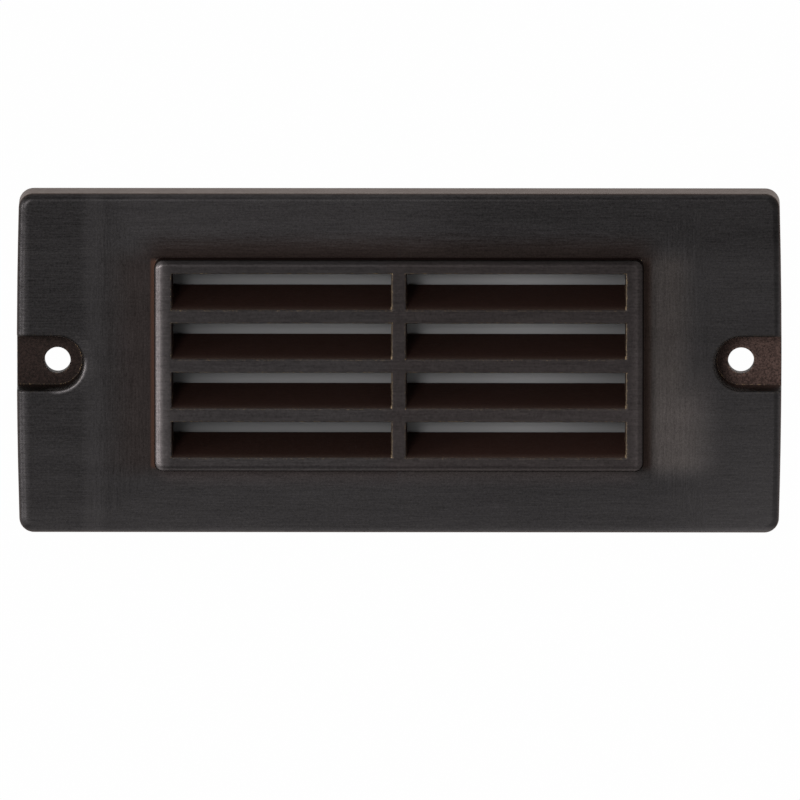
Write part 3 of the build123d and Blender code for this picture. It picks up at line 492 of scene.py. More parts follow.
    def foot_lines(self, colour: Socket) -> Socket:
        """Dark line above the frame, painted shadow at its right, painted light beneath it and a coppery line at
        its left foot.

        Args:
            colour: The colour so far.

        Returns:
            The colour with these lines.
        """
        low = self.step(self.sunk, 1.3, 2.2)
        for paint, way, edges in (
            (self.FOOT_LINE, "MIX", (
                (self.over, 0.55, 0.15), (self.over, -0.5, -0.2), (self.past_x, 0.5, -1.5)
            )),
            # painted shadow at the frame's right
            (self.SHADOW_RIGHT_OF_FRAME, "MULTIPLY", (
                (self.right_of, 3.2, 1.2), (self.right_of, -0.6, -0.1), (self.past_z, 1.0, -1.5)
            )),
            # painted light beneath the frame
            (self.LIGHT_BENEATH_FRAME, "MULTIPLY", (
                (self.under, 7.0, 1.0), (self.under, -0.3, 0.1), (self.past_x, 1.0, -6.0, 0.0, 0.8)
            )),
            (self.COPPERY_FOOT, "MIX", (
                (self.left_of, 1.6, 0.7), (self.left_of, -0.6, -0.3), (self.past_z, 0.3, -1.5, 0.0, 0.9)
            )),
        ):
            colour = self.blend(self.product(self.zone(*edges), low), colour, paint, way)
        return colour

    def painted_highlights(self, colour: Socket) -> Socket:
        """Painted highlights on the frame's edges, the rim round the plate and the end of the left recess.

        Args:
            colour: The colour so far.

        Returns:
            The colour with its bright edges.
        """
        on_frame = self.zone((self.sunk, 1.6, 0.9), (self.past_z, 0.2, -0.4))
        # painted highlights on the frame's left edge, and painted light on its right and bottom edges
        keen = self.step(self.left_of, -3.2, -0.8, 0.0, 3.7)
        soft = self.step(self.left_of, -5.6, -2.0, 0.0, 0.9)
        right_rail = self.step(self.right_of, -4.5, -1.5, 0.0, 0.456)
        bottom_rail = self.step(self.under, -1.5, -0.4, 0.0, 1.71)
        frame_highlight = self.product(self.add(keen, soft, self.most(right_rail, bottom_rail)), on_frame)

        # painted highlight: a crescent and halo round the inner end of the left recess
        inward = self.add(self.x, self.HOLE_X)
        from_wall = self.less(self.distance(inward, self.z), self.RECESS_RADIUS)
        slant = self.less(inward, self.z)
        crescent = self.zone((from_wall, 1.3, 0.4), (from_wall, -0.3, 0.0), (slant, 5.5, 10.5, 0.0, 3.4))
        halo = self.zone((from_wall, 4.6, 0.8), (inward, 3.0, 7.0, 0.0, 0.35))
        # painted highlights on the plate's rim at all four sides
        top = self.less(self.PLATE_Z, self.z)
        rim_highlight = self.most(
            self.zone((top, 1.7, 0.8), (top, 0.05, 0.4, 0.0, 0.8)),
            self.step(self.add(self.PLATE_Z, self.z), 2.8, 0.6, 0.0, 1.7),
            self.step(self.add(self.PLATE_X, self.x), 4.6, 0.9, 0.0, 1.7),
            self.step(self.less(self.PLATE_X, self.x), 1.8, 0.6, 0.0, 1.2), halo, crescent,
        )
        # the frame's face darker towards the top and lighter towards the bottom, and warmer on the right
        on_face = self.step(self.sunk, 1.2, 0.5)
        fade = self.between(on_face, 1.0, self.step(self.z, -self.FRAME_Z, self.FRAME_Z, 1.14, 0.90))
        warm = self.product(on_face, self.step(self.x, -8.0, 0.0, 0.45, 1.0))
        colour = self.tinted(warm, self.shaded(colour, fade), self.TINT_FRAME)
        return self.shaded(colour, self.add(1.0, frame_highlight, rim_highlight))

    def slot_walls(self, colour: Socket) -> Socket:
        """Dark speckled blades with painted shade deeper in and lighter lips, painted light in the lower right,
        and a painted highlight on the mouth of each slot's right end wall.

        Args:
            colour: The colour so far.

        Returns:
            The colour with the slots' walls.
        """
        # painted shade: the blades darker deeper in than at their lips
        front = self.step(self.sunk, 2.6, 0.4)
        # painted light lifting the blades in the lower right
        lower_right_light = self.zone((self.z, -10.0, -20.0), (self.x, -10.0, 30.0, 0.0, 0.38))
        pocked = self.add(0.78, self.product(self.speckle, 0.44), lower_right_light)
        blade = self.shaded(self.blend(front, self.BLADE, self.BLADE_LIP), pocked)
        colour = self.blend(self.slots, colour, blade)
        # painted highlight on the mouth of each slot's right end wall
        ends = (self.FIELD_X, -self.MIDDLE_BAR_X)
        at_end = self.most(*(self.step(self.size(self.less(self.x, end)), 0.42, 0.25) for end in ends))
        mouth = self.zone((self.sunk, 2.4, 0.6), (self.speckle, 0.0, 0.6))
        return self.blend(self.product(at_end, self.slots, mouth), colour, self.SLOT_END_HIGHLIGHT)

    def recess_colour(self) -> Socket:
        """Speckled casting, darker in the left recess, with a lighter ring round each hole, painted shade on the
        wall and painted shadow at the inner end of the right recess.

        Returns:
            The colour.
        """
        colour = self.blend(self.speckle, toned(self.RECESS, 0.34), toned(self.RECESS, 1.66))
        aside = self.less(self.across, self.HOLE_X)
        from_hole = self.less(self.distance(aside, self.z), self.HOLE_RADIUS)
        from_wall = self.less(self.distance(self.maths("MINIMUM", aside, 0.0), self.z), self.RECESS_RADIUS)
        ring = self.zone((from_hole, 1.3, 0.5), (self.speckle, 0.35, 0.75, 0.0, 0.55))
        colour = self.blend(ring, colour, toned(self.RECESS, 2.2))
        # painted shade on the recess's wall
        wall_shade = self.zone((from_wall, -0.9, -0.25), (from_wall, 1.0, 0.7))
        # painted shadow at the inner end of the right recess; the left recess is darker all over
        right = self.step(self.x, self.RECESS_X + 0.5, self.HOLE_X + 2.0, 0.62, 1.22)
        side = self.between(self.step(self.x, -20.0, 20.0), 0.32, right)
        return self.shaded(self.shaded(colour, self.between(wall_shade, 1.0, 0.07)), side)

    def outward_edges(self, edge: Socket) -> Socket:
        """The edge mask without the inward corner where the frame stands on the plate.

        Args:
            edge: The edge mask.

        Returns:
            The mask.
        """
        beyond = self.most(self.past_x, self.past_z)
        foot = self.zone((beyond, 1.2, 0.7), (beyond, -0.6, -0.3), (self.sunk, 2.4, 3.2))
        return self.product(edge, self.rest(foot))

    def painted(self) -> bpy.types.Material:
        """Lay the layers of colour, painted light and shade among them, on one another and finish the plate.

        Returns:
            The material.
        """
        casting = self.casting()
        colour = self.shaded(self.BRUSHED, self.tone())
        for coat in (self.patina, self.foot_lines, self.painted_highlights, self.slot_walls):
            colour = coat(colour)
        colour = self.blend(casting, colour, self.recess_colour())
        edge = self.worn_edge(0.45, 4.0).outputs
        outward = self.outward_edges(edge["Edge"])
        colour = self.blend(self.product(outward, 0.10), colour, self.RUBBED_EDGE)
        nicks = self.product(outward, self.step(self.speckle, 0.66, 0.90, 0.0, 0.6))
        oxide = self.most(self.slots, self.product(casting, 0.85))
        marks = self.bump(self.between(oxide, self.stroke, self.pocks), 0.010, edge["Normal"])
        return self.finished({
            "Base Color": self.blend(nicks, colour, self.BARE_BRASS),
            "Metallic": self.rest(self.product(oxide, 0.9)),
            "Roughness": self.add(0.33, self.product(self.stroke, 0.10), self.product(oxide, 0.16)),
            "Specular IOR Level": 0.12,
            "Specular Tint": self.AT_A_SLANT,
            "Normal": self.bump(self.product(self.pocks, oxide), 0.10, marks),
        })


@dataclass(frozen=True)
class Moulded:
    """A coated, moulded or rubber surface: one colour with its grain, clouding and worn edges."""

    name: str
    colour: Colour
    roughness: float = 0.5
    grain_pitch: float = 0.8
    grain_depth: float = 0.02
    variation: float = 0.12
    edge: Colour = (0.6, 0.6, 0.6)
    edge_share: float = 0.3

    def material(self) -> bpy.types.Material:
        """Build the material.

        Returns:
            The material.
        """
        surface = Surface(self.name)
        grain = surface.grain(self.grain_pitch, 2.2).outputs
        cloud = surface.noise(surface.place, 0.07, 3.0, 0.55)
        shade = surface.add(surface.product(grain["Speckle"], 0.55), surface.product(cloud, 0.45))
        dark, light = toned(self.colour, 1.0 - self.variation), toned(self.colour, 1.0 + self.variation)
        edge = surface.worn_edge(0.35, 5.0).outputs
        worn = surface.product(edge["Edge"], surface.step(grain["Speckle"], 0.25, 0.8), self.edge_share)
        return surface.finished({
            "Base Color": surface.blend(worn, surface.blend(shade, dark, light), self.edge),
            "Roughness": surface.add(self.roughness - 0.08, surface.product(shade, 0.16)),
            "Normal": surface.bump(grain["Height"], self.grain_depth, edge["Normal"]),
        })


@dataclass(frozen=True)
class WorkedMetal:
    """Bare or plated metal with draw, turning or brush marks, clouds of tarnish and bright edges."""

    name: str
    colour: Colour = (0.58, 0.58, 0.58)
    tarnish: Colour = (0.30, 0.29, 0.27)
    tarnish_share: float = 0.35
    roughness: float = 0.28
    run: Run = Run.ALONG_X

    def material(self) -> bpy.types.Material:
        """Build the material.

        Returns:
            The material.
        """
        surface = Surface(self.name)
        marks = surface.brushing(self.run, 1.8).outputs
        speckle = surface.grain(0.9, 2.6).outputs["Speckle"]
        stained = surface.product(speckle, surface.step(marks["Broad"], 0.35, 0.7), self.tarnish_share)
        brushed = surface.shaded(self.colour, surface.add(0.86, surface.product(marks["Stroke"], 0.28)))
        edge = surface.worn_edge(0.18, 4.0).outputs
        worn = surface.product(edge["Edge"], 0.4)
        streaks = surface.product(marks["Stroke"], 0.12)
        colour = surface.blend(stained, brushed, self.tarnish)
        return surface.finished({
            "Base Color": surface.blend(worn, colour, toned(self.colour, 1.35)),
            "Metallic": 1.0,
            "Roughness": surface.add(self.roughness - 0.05, streaks, surface.product(stained, 0.35)),
            "Normal": surface.bump(marks["Stroke"], 0.006, edge["Normal"]),
        })


@dataclass(frozen=True)
class FrostedGlass:
    """Etched glass or frosted plastic: rough transmission with a fine etch and faint smears."""

    name: str
    colour: Colour = (0.220, 0.216, 0.219)
    roughness: float = 0.5
    transmission: float = 0.4
    index: float = 1.5
    shaded_by_louvre: bool = False

    @staticmethod
    def louvre_shade(surface: Surface) -> Socket:
        """Painted shade on the glass from the louvre: darker towards both ends and in the top and bottom rows on
        the left, lighter in the middle of the right half.

        Args:
            surface: The glass.

        Returns:
            The factor on the colour.
        """
        x, _, z = surface.split(surface.place)
        # painted shade from the louvre on the glass
        rows = (z, -12.0, -22.0, 1.0, 0.72), (z, 14.0, 23.0, 1.02, 0.90)
        left = surface.zone((x, -74.0, -46.0, 0.18, 0.88), *rows)
        right = surface.zone((x, 5.0, 36.0, 0.85, 1.20), (x, 36.0, 72.0, 1.0, 0.44))
        return surface.between(surface.step(x, -1.0, 1.0), left, right)

    def material(self) -> bpy.types.Material:
        """Build the material.

        Returns:
            The material.
        """
        surface = Surface(self.name)
        grain = surface.grain(0.3, 1.5).outputs
        smear = surface.noise(surface.stretched(surface.place, (0.05, 0.05, 0.12)), 1.0, 3.0, 0.6)
        shade = surface.add(surface.product(grain["Speckle"], 0.5), surface.product(smear, 0.5))
        colour = surface.blend(shade, toned(self.colour, 0.90), self.colour)
        # painted shade from the louvre
        if self.shaded_by_louvre:
            colour = surface.shaded(colour, self.louvre_shade(surface))
        return surface.finished({
            "Base Color": colour,
            "Metallic": 0.0,
            "Transmission Weight": self.transmission,
            "IOR": self.index,
            "Roughness": surface.add(self.roughness, surface.product(shade, 0.10)),
            "Normal": surface.bump(grain["Height"], 0.02),
        })


@dataclass(frozen=True)
class ChipFinish:
    """White chip packages, each with a round window of yellow phosphor."""

    name: str
    package: Colour = (0.80, 0.80, 0.77)
    phosphor: Colour = (0.86, 0.62, 0.10)
    pitch: float = 5.2
    window: float = 1.15

    def material(self) -> bpy.types.Material:
        """Build the material.

        Returns:
            The material.
        """
        surface = Surface(self.name)
        x, _, z = surface.split(surface.place)
        chip = surface.maths("FRACT", surface.maths("DIVIDE", surface.add(x, 0.5 * self.pitch), self.pitch))
        away = surface.distance(surface.product(surface.less(chip, 0.5), self.pitch), z)
        speckle = surface.grain(0.25, 2.0).outputs["Speckle"]
        gel = surface.blend(speckle, toned(self.phosphor, 0.85), self.phosphor)
        window = surface.step(away, self.window + 0.08, self.window)
        return surface.finished({
            "Base Color": surface.blend(window, self.package, gel),
            "Roughness": surface.between(window, 0.45, 0.22),
            "Normal": surface.bump(surface.rest(window), 0.10),
        })


@dataclass(frozen=True)
class BoardFinish:
    """White solder mask with tinned tracks along both edges and pads at the socket end."""

    name: str
    mask: Colour = (0.78, 0.79, 0.78)
    tin: Colour = (0.62, 0.61, 0.58)
    track_z: float = 3.4
    track_width: float = 0.7
    pads_end_x: float = -2.9

    def material(self) -> bpy.types.Material:
        """Build the material.

        Returns:
            The material.
        """
        surface = Surface(self.name)
        x, _, z = surface.split(surface.place)
        level = surface.size(z)
        off_track = surface.size(surface.less(level, self.track_z))
        off_edge = surface.less(off_track, 0.5 * self.track_width)
        track = surface.step(off_edge, 0.05, -0.05, 0.0, 0.35)
        pad = surface.zone((x, self.pads_end_x + 0.1, self.pads_end_x), (level, 1.6, 1.8))
        metal = surface.most(track, pad)
        speckle = surface.grain(0.5, 1.6).outputs["Speckle"]
        white = surface.blend(speckle, toned(self.mask, 0.93), self.mask)
        return surface.finished({
            "Base Color": surface.blend(metal, white, self.tin),
            "Metallic": pad,
            "Roughness": surface.between(pad, 0.38, 0.25),
            "Normal": surface.bump(metal, 0.03),
        })


# ------------------------------------------------------------------ surfaces
class Facing(Enum):
    """Which way the head of a turned piece faces; the value turns (x, y, height) into the frame."""

    BACK = ((1.0, 0.0, 0.0), (0.0, 0.0, -1.0), (0.0, 1.0, 0.0))
    FRONT = ((1.0, 0.0, 0.0), (0.0, 0.0, 1.0), (0.0, -1.0, 0.0))


class Drive(Enum):
    """Recess in a screw's head; the value is how many degrees it repeats after."""

    CROSS = 90.0
    SLOT = 180.0


def link(name: str, data: bpy.types.ID) -> bpy.types.Object:
    """Put new data into the scene.

    Args:
        name: The object's name.
        data: Its mesh, curve, lamp or camera.

    Returns:
        The object.
    """
    made = bpy.data.objects.new(name, data)
    bpy.context.scene.collection.objects.link(made)
    return made


def stand_for(made: bpy.types.Object, body: str, node: str) -> None:
    """Let a new object stand for a CAD node.

    Args:
        made: The object.
        body: The body that it moves with.
        node: The CAD node that it replaces.
    """
    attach(made, body)
    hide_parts(node)


@dataclass
class Skin:
    """A closed surface in millimetres: points, and blocks of faces with the same number of corners."""

    points: np.ndarray
    blocks: list[np.ndarray]

    @classmethod
    def turned(cls, points: np.ndarray, hollow: bool = False) -> "Skin":
        """Skin over rings of points.

        A point is a function of two whole numbers, its ring and its place round the axis. Each four
        neighbours make a face. A hollow skin's last ring joins its first one, and a full one is
        closed at each end by a fan to the ring's middle.

        Args:
            points: Points by ring, by place round the axis, by x, y and height.
            hollow: Whether the piece has a bore.

        Returns:
            The skin, facing outwards.
        """
        count, places = points.shape[:2]
        numbers = np.arange(count * places).reshape(count, places)
        closed = np.vstack([numbers, numbers[:1]]) if hollow else numbers
        beside = np.roll(closed, -1, axis=1)
        quads = np.stack([closed[:-1], beside[:-1], beside[1:], closed[1:]], axis=-1).reshape(-1, 4)
        if hollow:
            return cls(points.reshape(-1, 3), [quads]).outward()
        middles = points[[0, -1]].mean(axis=1)
        first, last = (np.full(places, count * places + end) for end in (0, 1))
        start = np.stack([first, beside[0], closed[0]], axis=-1)
        end = np.stack([last, closed[-1], beside[-1]], axis=-1)
        return cls(np.vstack([points.reshape(-1, 3), middles]), [quads, start, end]).outward()

    def volume(self) -> float:
        """Signed volume: the sum of the tetrahedra from the origin to each face's triangles.

        Returns:
            Cubic millimetres, below 0 where the faces look inwards.
        """
        total = 0.0
        for block in self.blocks:
            for corner in range(1, block.shape[1] - 1):
                first, second, third = (self.points[block[:, place]] for place in (0, corner, corner + 1))
                total += float(np.einsum("ij,ij->i", first, np.cross(second, third)).sum()) / 6.0
        return total

    def outward(self) -> "Skin":
        """The skin with its faces turned outwards."""
        inwards = self.volume() < 0.0
        return Skin(self.points, [block[:, ::-1] for block in self.blocks]) if inwards else self

    def at(self, facing: Facing, place: Colour) -> "Skin":
        """The skin turned to its facing and moved to its place."""
        return Skin(self.points @ np.array(facing.value) + np.array(place), self.blocks).outward()

    @classmethod
    def joined(cls, skins: list["Skin"]) -> "Skin":
        """Several skins as one.

        Args:
            skins: The skins.

        Returns:
            One skin with all points and faces.
        """
        starts = np.cumsum([0] + [len(skin.points) for skin in skins])
        blocks = [block + start for skin, start in zip(skins, starts) for block in skin.blocks]
        return cls(np.vstack([skin.points for skin in skins]), blocks)

    def piece(self, name: str, material: bpy.types.Material, body: str, slot: str, node: str) -> None:
        """Make the skin a piece that stands for a CAD node.

        Args:
            name: The piece's name.
            material: Its finish.
            body: The body that it moves with.
            slot: Not used.
            node: The CAD node that it replaces.
        """
        mesh = bpy.data.meshes.new(name)
        faces = [face for block in self.blocks for face in block.tolist()]
        mesh.from_pydata((self.points * MM).tolist(), [], faces)
        mesh.polygons.foreach_set("use_smooth", np.ones(len(mesh.polygons), dtype=bool))
        mesh.set_sharp_from_angle(angle=math.radians(SHARP_DEGREES))
        mesh.materials.append(material)
        mesh.update()
        stand_for(link(name, mesh), body, node)
        log.info("built %s with %d faces in %s", name, len(mesh.polygons), material.name)


def rings(radius: np.ndarray, height: np.ndarray, angles: np.ndarray) -> np.ndarray:
    """Rings of points: x and y are the radius times the angle's cosine and sine.

    Args:
        radius: Radius by ring, one for all angles or one for each.
        height: Height by ring, as a column.
        angles: Angles round the axis.

    Returns:
        Points by ring, by angle, by x, y and height.
    """
    x, y = radius * np.cos(angles), radius * np.sin(angles)
    return np.stack([x, y, np.broadcast_to(height, x.shape)], axis=-1)


def lathe(profile: list[tuple[float, float]], angles: np.ndarray) -> np.ndarray:
    """Rings of a turned shape: place i, j is profile point i (radius, height) turned to angle j."""
    radius, height = np.array(profile).T[..., None]
    return rings(radius, height, angles)


def hexagon(flats: float, angles: np.ndarray) -> np.ndarray:
    """Radius of a hexagon with a corner on x: half its flats over the cosine of the turn from a flat's middle."""
    return 0.5 * flats / np.cos(np.mod(angles, math.pi / 3.0) - math.pi / 6.0)


def threaded(diameter: float, pitch: float, start: float, end: float, angles: np.ndarray) -> np.ndarray:
    """Rings of a rolled thread between two heights.

    The radius falls from the crest by the thread's depth times how far height over pitch plus turn
    is from a half, and both ends are held inside a cone.

    Args:
        diameter: Diameter over the crests.
        pitch: Rise in one turn.
        start: Lowest height.
        end: Highest height.
        angles: Angles round the axis.

    Returns:
        The rings, from start to end.
    """
    rows = max(8, round(THREAD_ROWS * (end - start) / pitch))
    height = np.linspace(start, end, rows)[:, None]
    crest, depth = 0.5 * diameter, THREAD_DEPTH * pitch
    turn = np.mod(height / pitch + angles / math.tau, 1.0)
    cone = crest - 1.3 * depth + 0.9 * np.minimum(height - start, end - height)
    return rings(np.minimum(crest - depth * np.abs(2.0 * turn - 1.0), cone), height, angles)


# ------------------------------------------------------------------ the light's pieces
def dress(node: str, material: bpy.types.Material) -> None:
    """Give a CAD node its finish.

    Args:
        node: The node's name.
        material: The finish.
    """
    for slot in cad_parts[node].material_slots:
        slot.material = material
    log.info("dressed %s in %s", node, material.name)


def grid(across: tuple[float, ...], y: float, level: tuple[float, ...]) -> list[Colour]:
    """Places at each x and each z on one plane of y."""
    return [(x, y, z) for x in across for z in level]


class Palette:
    """Finishes that more than one piece wears, each made once."""

    def __init__(self) -> None:
        """Make the shared finishes."""
        self.steel = WorkedMetal("turned_steel", roughness=0.26).material()
        self.brass = WorkedMetal(
            "contact_brass", colour=(0.72, 0.50, 0.21), tarnish=(0.32, 0.19, 0.08), roughness=0.24,
            run=Run.ALONG_Z,
        ).material()
        self.silicone = Moulded(
            "grey_silicone", colour=(0.40, 0.40, 0.40), roughness=0.6, grain_pitch=1.2, grain_depth=0.015,
            edge=(0.50, 0.50, 0.50), edge_share=0.25,
        ).material()
        self.rubber = Moulded(
            "black_rubber", colour=(0.040, 0.040, 0.040), roughness=0.62, grain_pitch=0.7, variation=0.25,
            edge=(0.085, 0.085, 0.085), edge_share=0.5,
        ).material()
        self.nylon = Moulded(
            "black_nylon", colour=(0.042, 0.042, 0.045), roughness=0.42, grain_pitch=0.45, grain_depth=0.015,
            variation=0.15, edge=(0.11, 0.11, 0.11), edge_share=0.55,
        ).material()


@dataclass(frozen=True)
class Screw:
    """A screw or plug: rolled thread, rounded head with a cross or slot, or headless. Sizes in millimetres."""

    length: float
    diameter: float = 3.0
    pitch: float = 0.5
    head_diameter: float = 5.6
    head_height: float = 2.0
    drive: Drive = Drive.CROSS
    recess_width: float = 0.16
    recess_reach: float = 0.31
    recess_depth: float = 0.55
    rounding: float = 0.45
    underside: float = 0.06
    places: int = 48
    grips: int = 0
    grip_depth: float = 0.022

    def angles(self) -> np.ndarray:
        """Even angles round the axis, and those of the recess's corners.

        Returns:
            The angles in order.
        """
        corner = math.degrees(math.atan2(0.5 * self.recess_width, self.recess_reach))
        starts = np.arange(0.0, 360.0, self.drive.value)
        even = np.arange(self.places) * 360.0 / self.places
        near = np.concatenate([starts - corner, starts + corner]) % 360.0
        return np.radians(np.unique(np.round(np.concatenate([even, near]), 4)))

    def head(self, angles: np.ndarray) -> np.ndarray:
        """Rings of the head, from its underside over its rounded rim to its top.

        The rim is a quarter circle. Grips cut its radius by the square of a raised cosine.

        Args:
            angles: Angles round the axis.

        Returns:
            The rings.
        """
        radius, height = 0.5 * self.head_diameter, self.head_height
        ease, corner = self.underside * height, self.rounding * height
        bend = np.linspace(0.0, 0.5 * math.pi, 6)
        rim = zip(radius - corner * (1.0 - np.cos(bend)), height - corner * (1.0 - np.sin(bend)))
        made = lathe([(radius - ease, 0.0), (radius, ease), *rim], angles)
        if self.grips:
            groove = 1.0 - self.grip_depth * (0.5 + 0.5 * np.cos(self.grips * angles)) ** 2
            made[1:5, :, :2] *= groove[None, :, None]
        return made

    def recess(self, angles: np.ndarray) -> np.ndarray:
        """Rings of the drive, from its outline on the top to its floor.

        The outline's radius is the lesser of reach over the cosine and half the width over the sine
        of the angle from the nearest arm, and the floor's is a little less.

        Args:
            angles: Angles round the axis.

        Returns:
            The rings.
        """
        size = self.head_diameter or self.diameter
        fold = math.radians(self.drive.value)
        from_arm = np.mod(angles + 0.5 * fold, fold) - 0.5 * fold
        width = 0.5 * self.recess_width * size / np.maximum(np.abs(np.sin(from_arm)), 1e-6)
        outline = np.minimum(self.recess_reach * size / np.maximum(np.cos(from_arm), 1e-6), width)
        depth = self.recess_depth * (self.head_height or self.diameter)
        share = np.array([1.08, 1.0, 0.93, 0.86])[:, None]
        drop = np.array([0.0, 0.03, 0.88, 1.0])[:, None] * depth
        return rings(share * outline, self.head_height - drop, angles)

    def skin(self, facing: Facing, places: list[Colour]) -> Skin:
        """The screw at each of its places.

        Args:
            facing: Which way its head faces.
            places: Where the head meets the shank.

        Returns:
            One skin of all the screws.
        """
        angles = self.angles()
        parts = [threaded(self.diameter, self.pitch, -self.length, 0.0, angles)]
        if self.head_height:
            parts.append(self.head(angles))
        one = Skin.turned(np.concatenate([*parts, self.recess(angles)]))
        return Skin.joined([one.at(facing, place) for place in places])

    def drive_in(
        self, steel: bpy.types.Material, facing: Facing, places: list[Colour], node: str, body: str = "housing"
    ) -> None:
        """Set steel screws for a CAD node.

        Args:
            steel: Their finish.
            facing: Which way their heads face.
            places: Where each head meets its shank.
            node: The CAD node that they replace.
            body: The body that they move with.
        """
        kind = "slotted" if self.drive is Drive.SLOT else "threaded"
        self.skin(facing, places).piece(f"{node}_{kind}", steel, body, "screw_steel", node)


@dataclass
class Assembly:
    """A part of the light that builds itself, some of it in the shared finishes."""

    palette: Palette


@dataclass
class Faceplate(Assembly):
    """Bronze plate with its louvred frame, and the gasket behind it."""

    def build(self) -> None:
        """Dress the plate and its gasket."""
        dress("faceplate", RubbedBronze().painted())
        dress("housing_gasket", self.palette.silicone)


@dataclass
class Window(Assembly):
    """Frosted glass in its gasket, held by spring clips and their screws."""

    screw: Screw = Screw(length=10.0)
    screw_x: float = 77.95
    screw_z: tuple[float, float] = (-11.6, 24.4)
    seat_y: float = -3.2

    def build(self) -> None:
        """Dress the glass, gasket and clips, and set the clips' screws."""
        dress("lens", FrostedGlass("frosted_glass", shaded_by_louvre=True).material())
        dress("lens_gasket", self.palette.silicone)
        clip = WorkedMetal(
            "spring_steel", colour=(0.62, 0.62, 0.62), run=Run.ALONG_Z, roughness=0.22, tarnish_share=0.25
        )
        dress("lens_clips", clip.material())
        places = grid((-self.screw_x, self.screw_x), self.seat_y, self.screw_z)
        self.screw.drive_in(self.palette.steel, Facing.BACK, places, "lens_clip_screws", "faceplate")


@dataclass
class Housing(Assembly):
    """Coated housing behind the plate, its four screws and the grommet in the inner wall."""

    screw: Screw = Screw(diameter=4.0, length=9.7, pitch=0.7, head_diameter=7.2, head_height=2.6)
    screw_x: float = 88.85
    screw_z: float = 33.3
    seat_y: float = -3.5

    def build(self) -> None:
        """Dress the housing and grommet and set the housing's screws."""
        coat = Moulded(
            "bronze_powder_coat", colour=(0.050, 0.040, 0.035), roughness=0.5, grain_pitch=0.55,
            grain_depth=0.05, variation=0.22, edge=(0.30, 0.27, 0.23), edge_share=0.35,
        )
        dress("housing", coat.material())
        dress("lead_grommet", self.palette.rubber)
        places = grid((-self.screw_x, self.screw_x), self.seat_y, (-self.screw_z, self.screw_z))
        self.screw.drive_in(self.palette.steel, Facing.BACK, places, "housing_screws")


@dataclass
class ReflectorTray(Assembly):
    """White tray round the lamp and the four screws that hold it to the housing."""

    screw: Screw = Screw(length=9.2)
    screw_x: float = 42.0
    screw_z: float = 12.5
    seat_y: float = 29.0

    def build(self) -> None:
        """Dress the tray and set its screws."""
        enamel = Moulded(
            "white_enamel", colour=(0.85, 0.85, 0.83), roughness=0.30, grain_pitch=2.2, grain_depth=0.012,
            variation=0.03, edge=(0.62, 0.61, 0.58), edge_share=0.25,
        )
        dress("reflector", enamel.material())
        places = grid((-self.screw_x, self.screw_x), self.seat_y, (-self.screw_z, self.screw_z))
        self.screw.drive_in(self.palette.steel, Facing.FRONT, places, "reflector_screws")


@dataclass
class Lampholder(Assembly):
    """Cream lampholder with brass contacts, on its plated bracket."""

    screw: Screw = Screw(length=5.2)
    bracket_screw: Screw = Screw(length=3.2)
    screw_x: float = -20.0
    screw_z: float = 11.7
    seat_y: float = 20.5
    bracket_screw_x: tuple[float, float] = (-34.2, -5.8)
    bracket_seat_y: float = 30.0

    def build(self) -> None:
        """Dress the holder, contacts and bracket and set both pairs of screws."""
        cream = Moulded(
            "cream_thermoset", colour=(0.80, 0.77, 0.69), roughness=0.38, grain_pitch=0.6, grain_depth=0.015,
            variation=0.05, edge=(0.90, 0.88, 0.82), edge_share=0.4,
        )
        dress("lampholder", cream.material())
        dress("lampholder_contacts", self.palette.brass)
        plated = WorkedMetal(
            "zinc_plate", colour=(0.64, 0.65, 0.66), tarnish=(0.50, 0.47, 0.38), tarnish_share=0.5,
            roughness=0.34,
        )
        dress("lampholder_bracket", plated.material())
        places = grid((self.screw_x,), self.seat_y, (-self.screw_z, self.screw_z))
        self.screw.drive_in(self.palette.steel, Facing.FRONT, places, "lampholder_screws")
        places = grid(self.bracket_screw_x, self.bracket_seat_y, (0.0,))
        self.bracket_screw.drive_in(self.palette.steel, Facing.BACK, places, "bracket_screws")


@dataclass
class Lamp(Assembly):
    """Plug-in lamp: base, board, row of chips and frosted cover."""

    def build(self) -> None:
        """Dress the lamp's pieces."""
        base = Moulded(
            "white_lamp_plastic", colour=(0.84, 0.84, 0.81), roughness=0.33, grain_pitch=0.5, grain_depth=0.01,
            variation=0.04, edge=(0.93, 0.93, 0.91), edge_share=0.4,
        )
        dress("lamp_base", base.material())
        dress("lamp_board", BoardFinish("white_board").material())
        dress("lamp_chips", ChipFinish("phosphor_chips").material())
        cover = FrostedGlass(
            "frosted_cover", colour=(0.93, 0.93, 0.91), roughness=0.35, transmission=0.9, index=1.58
        )
        dress("lamp_cover", cover.material())


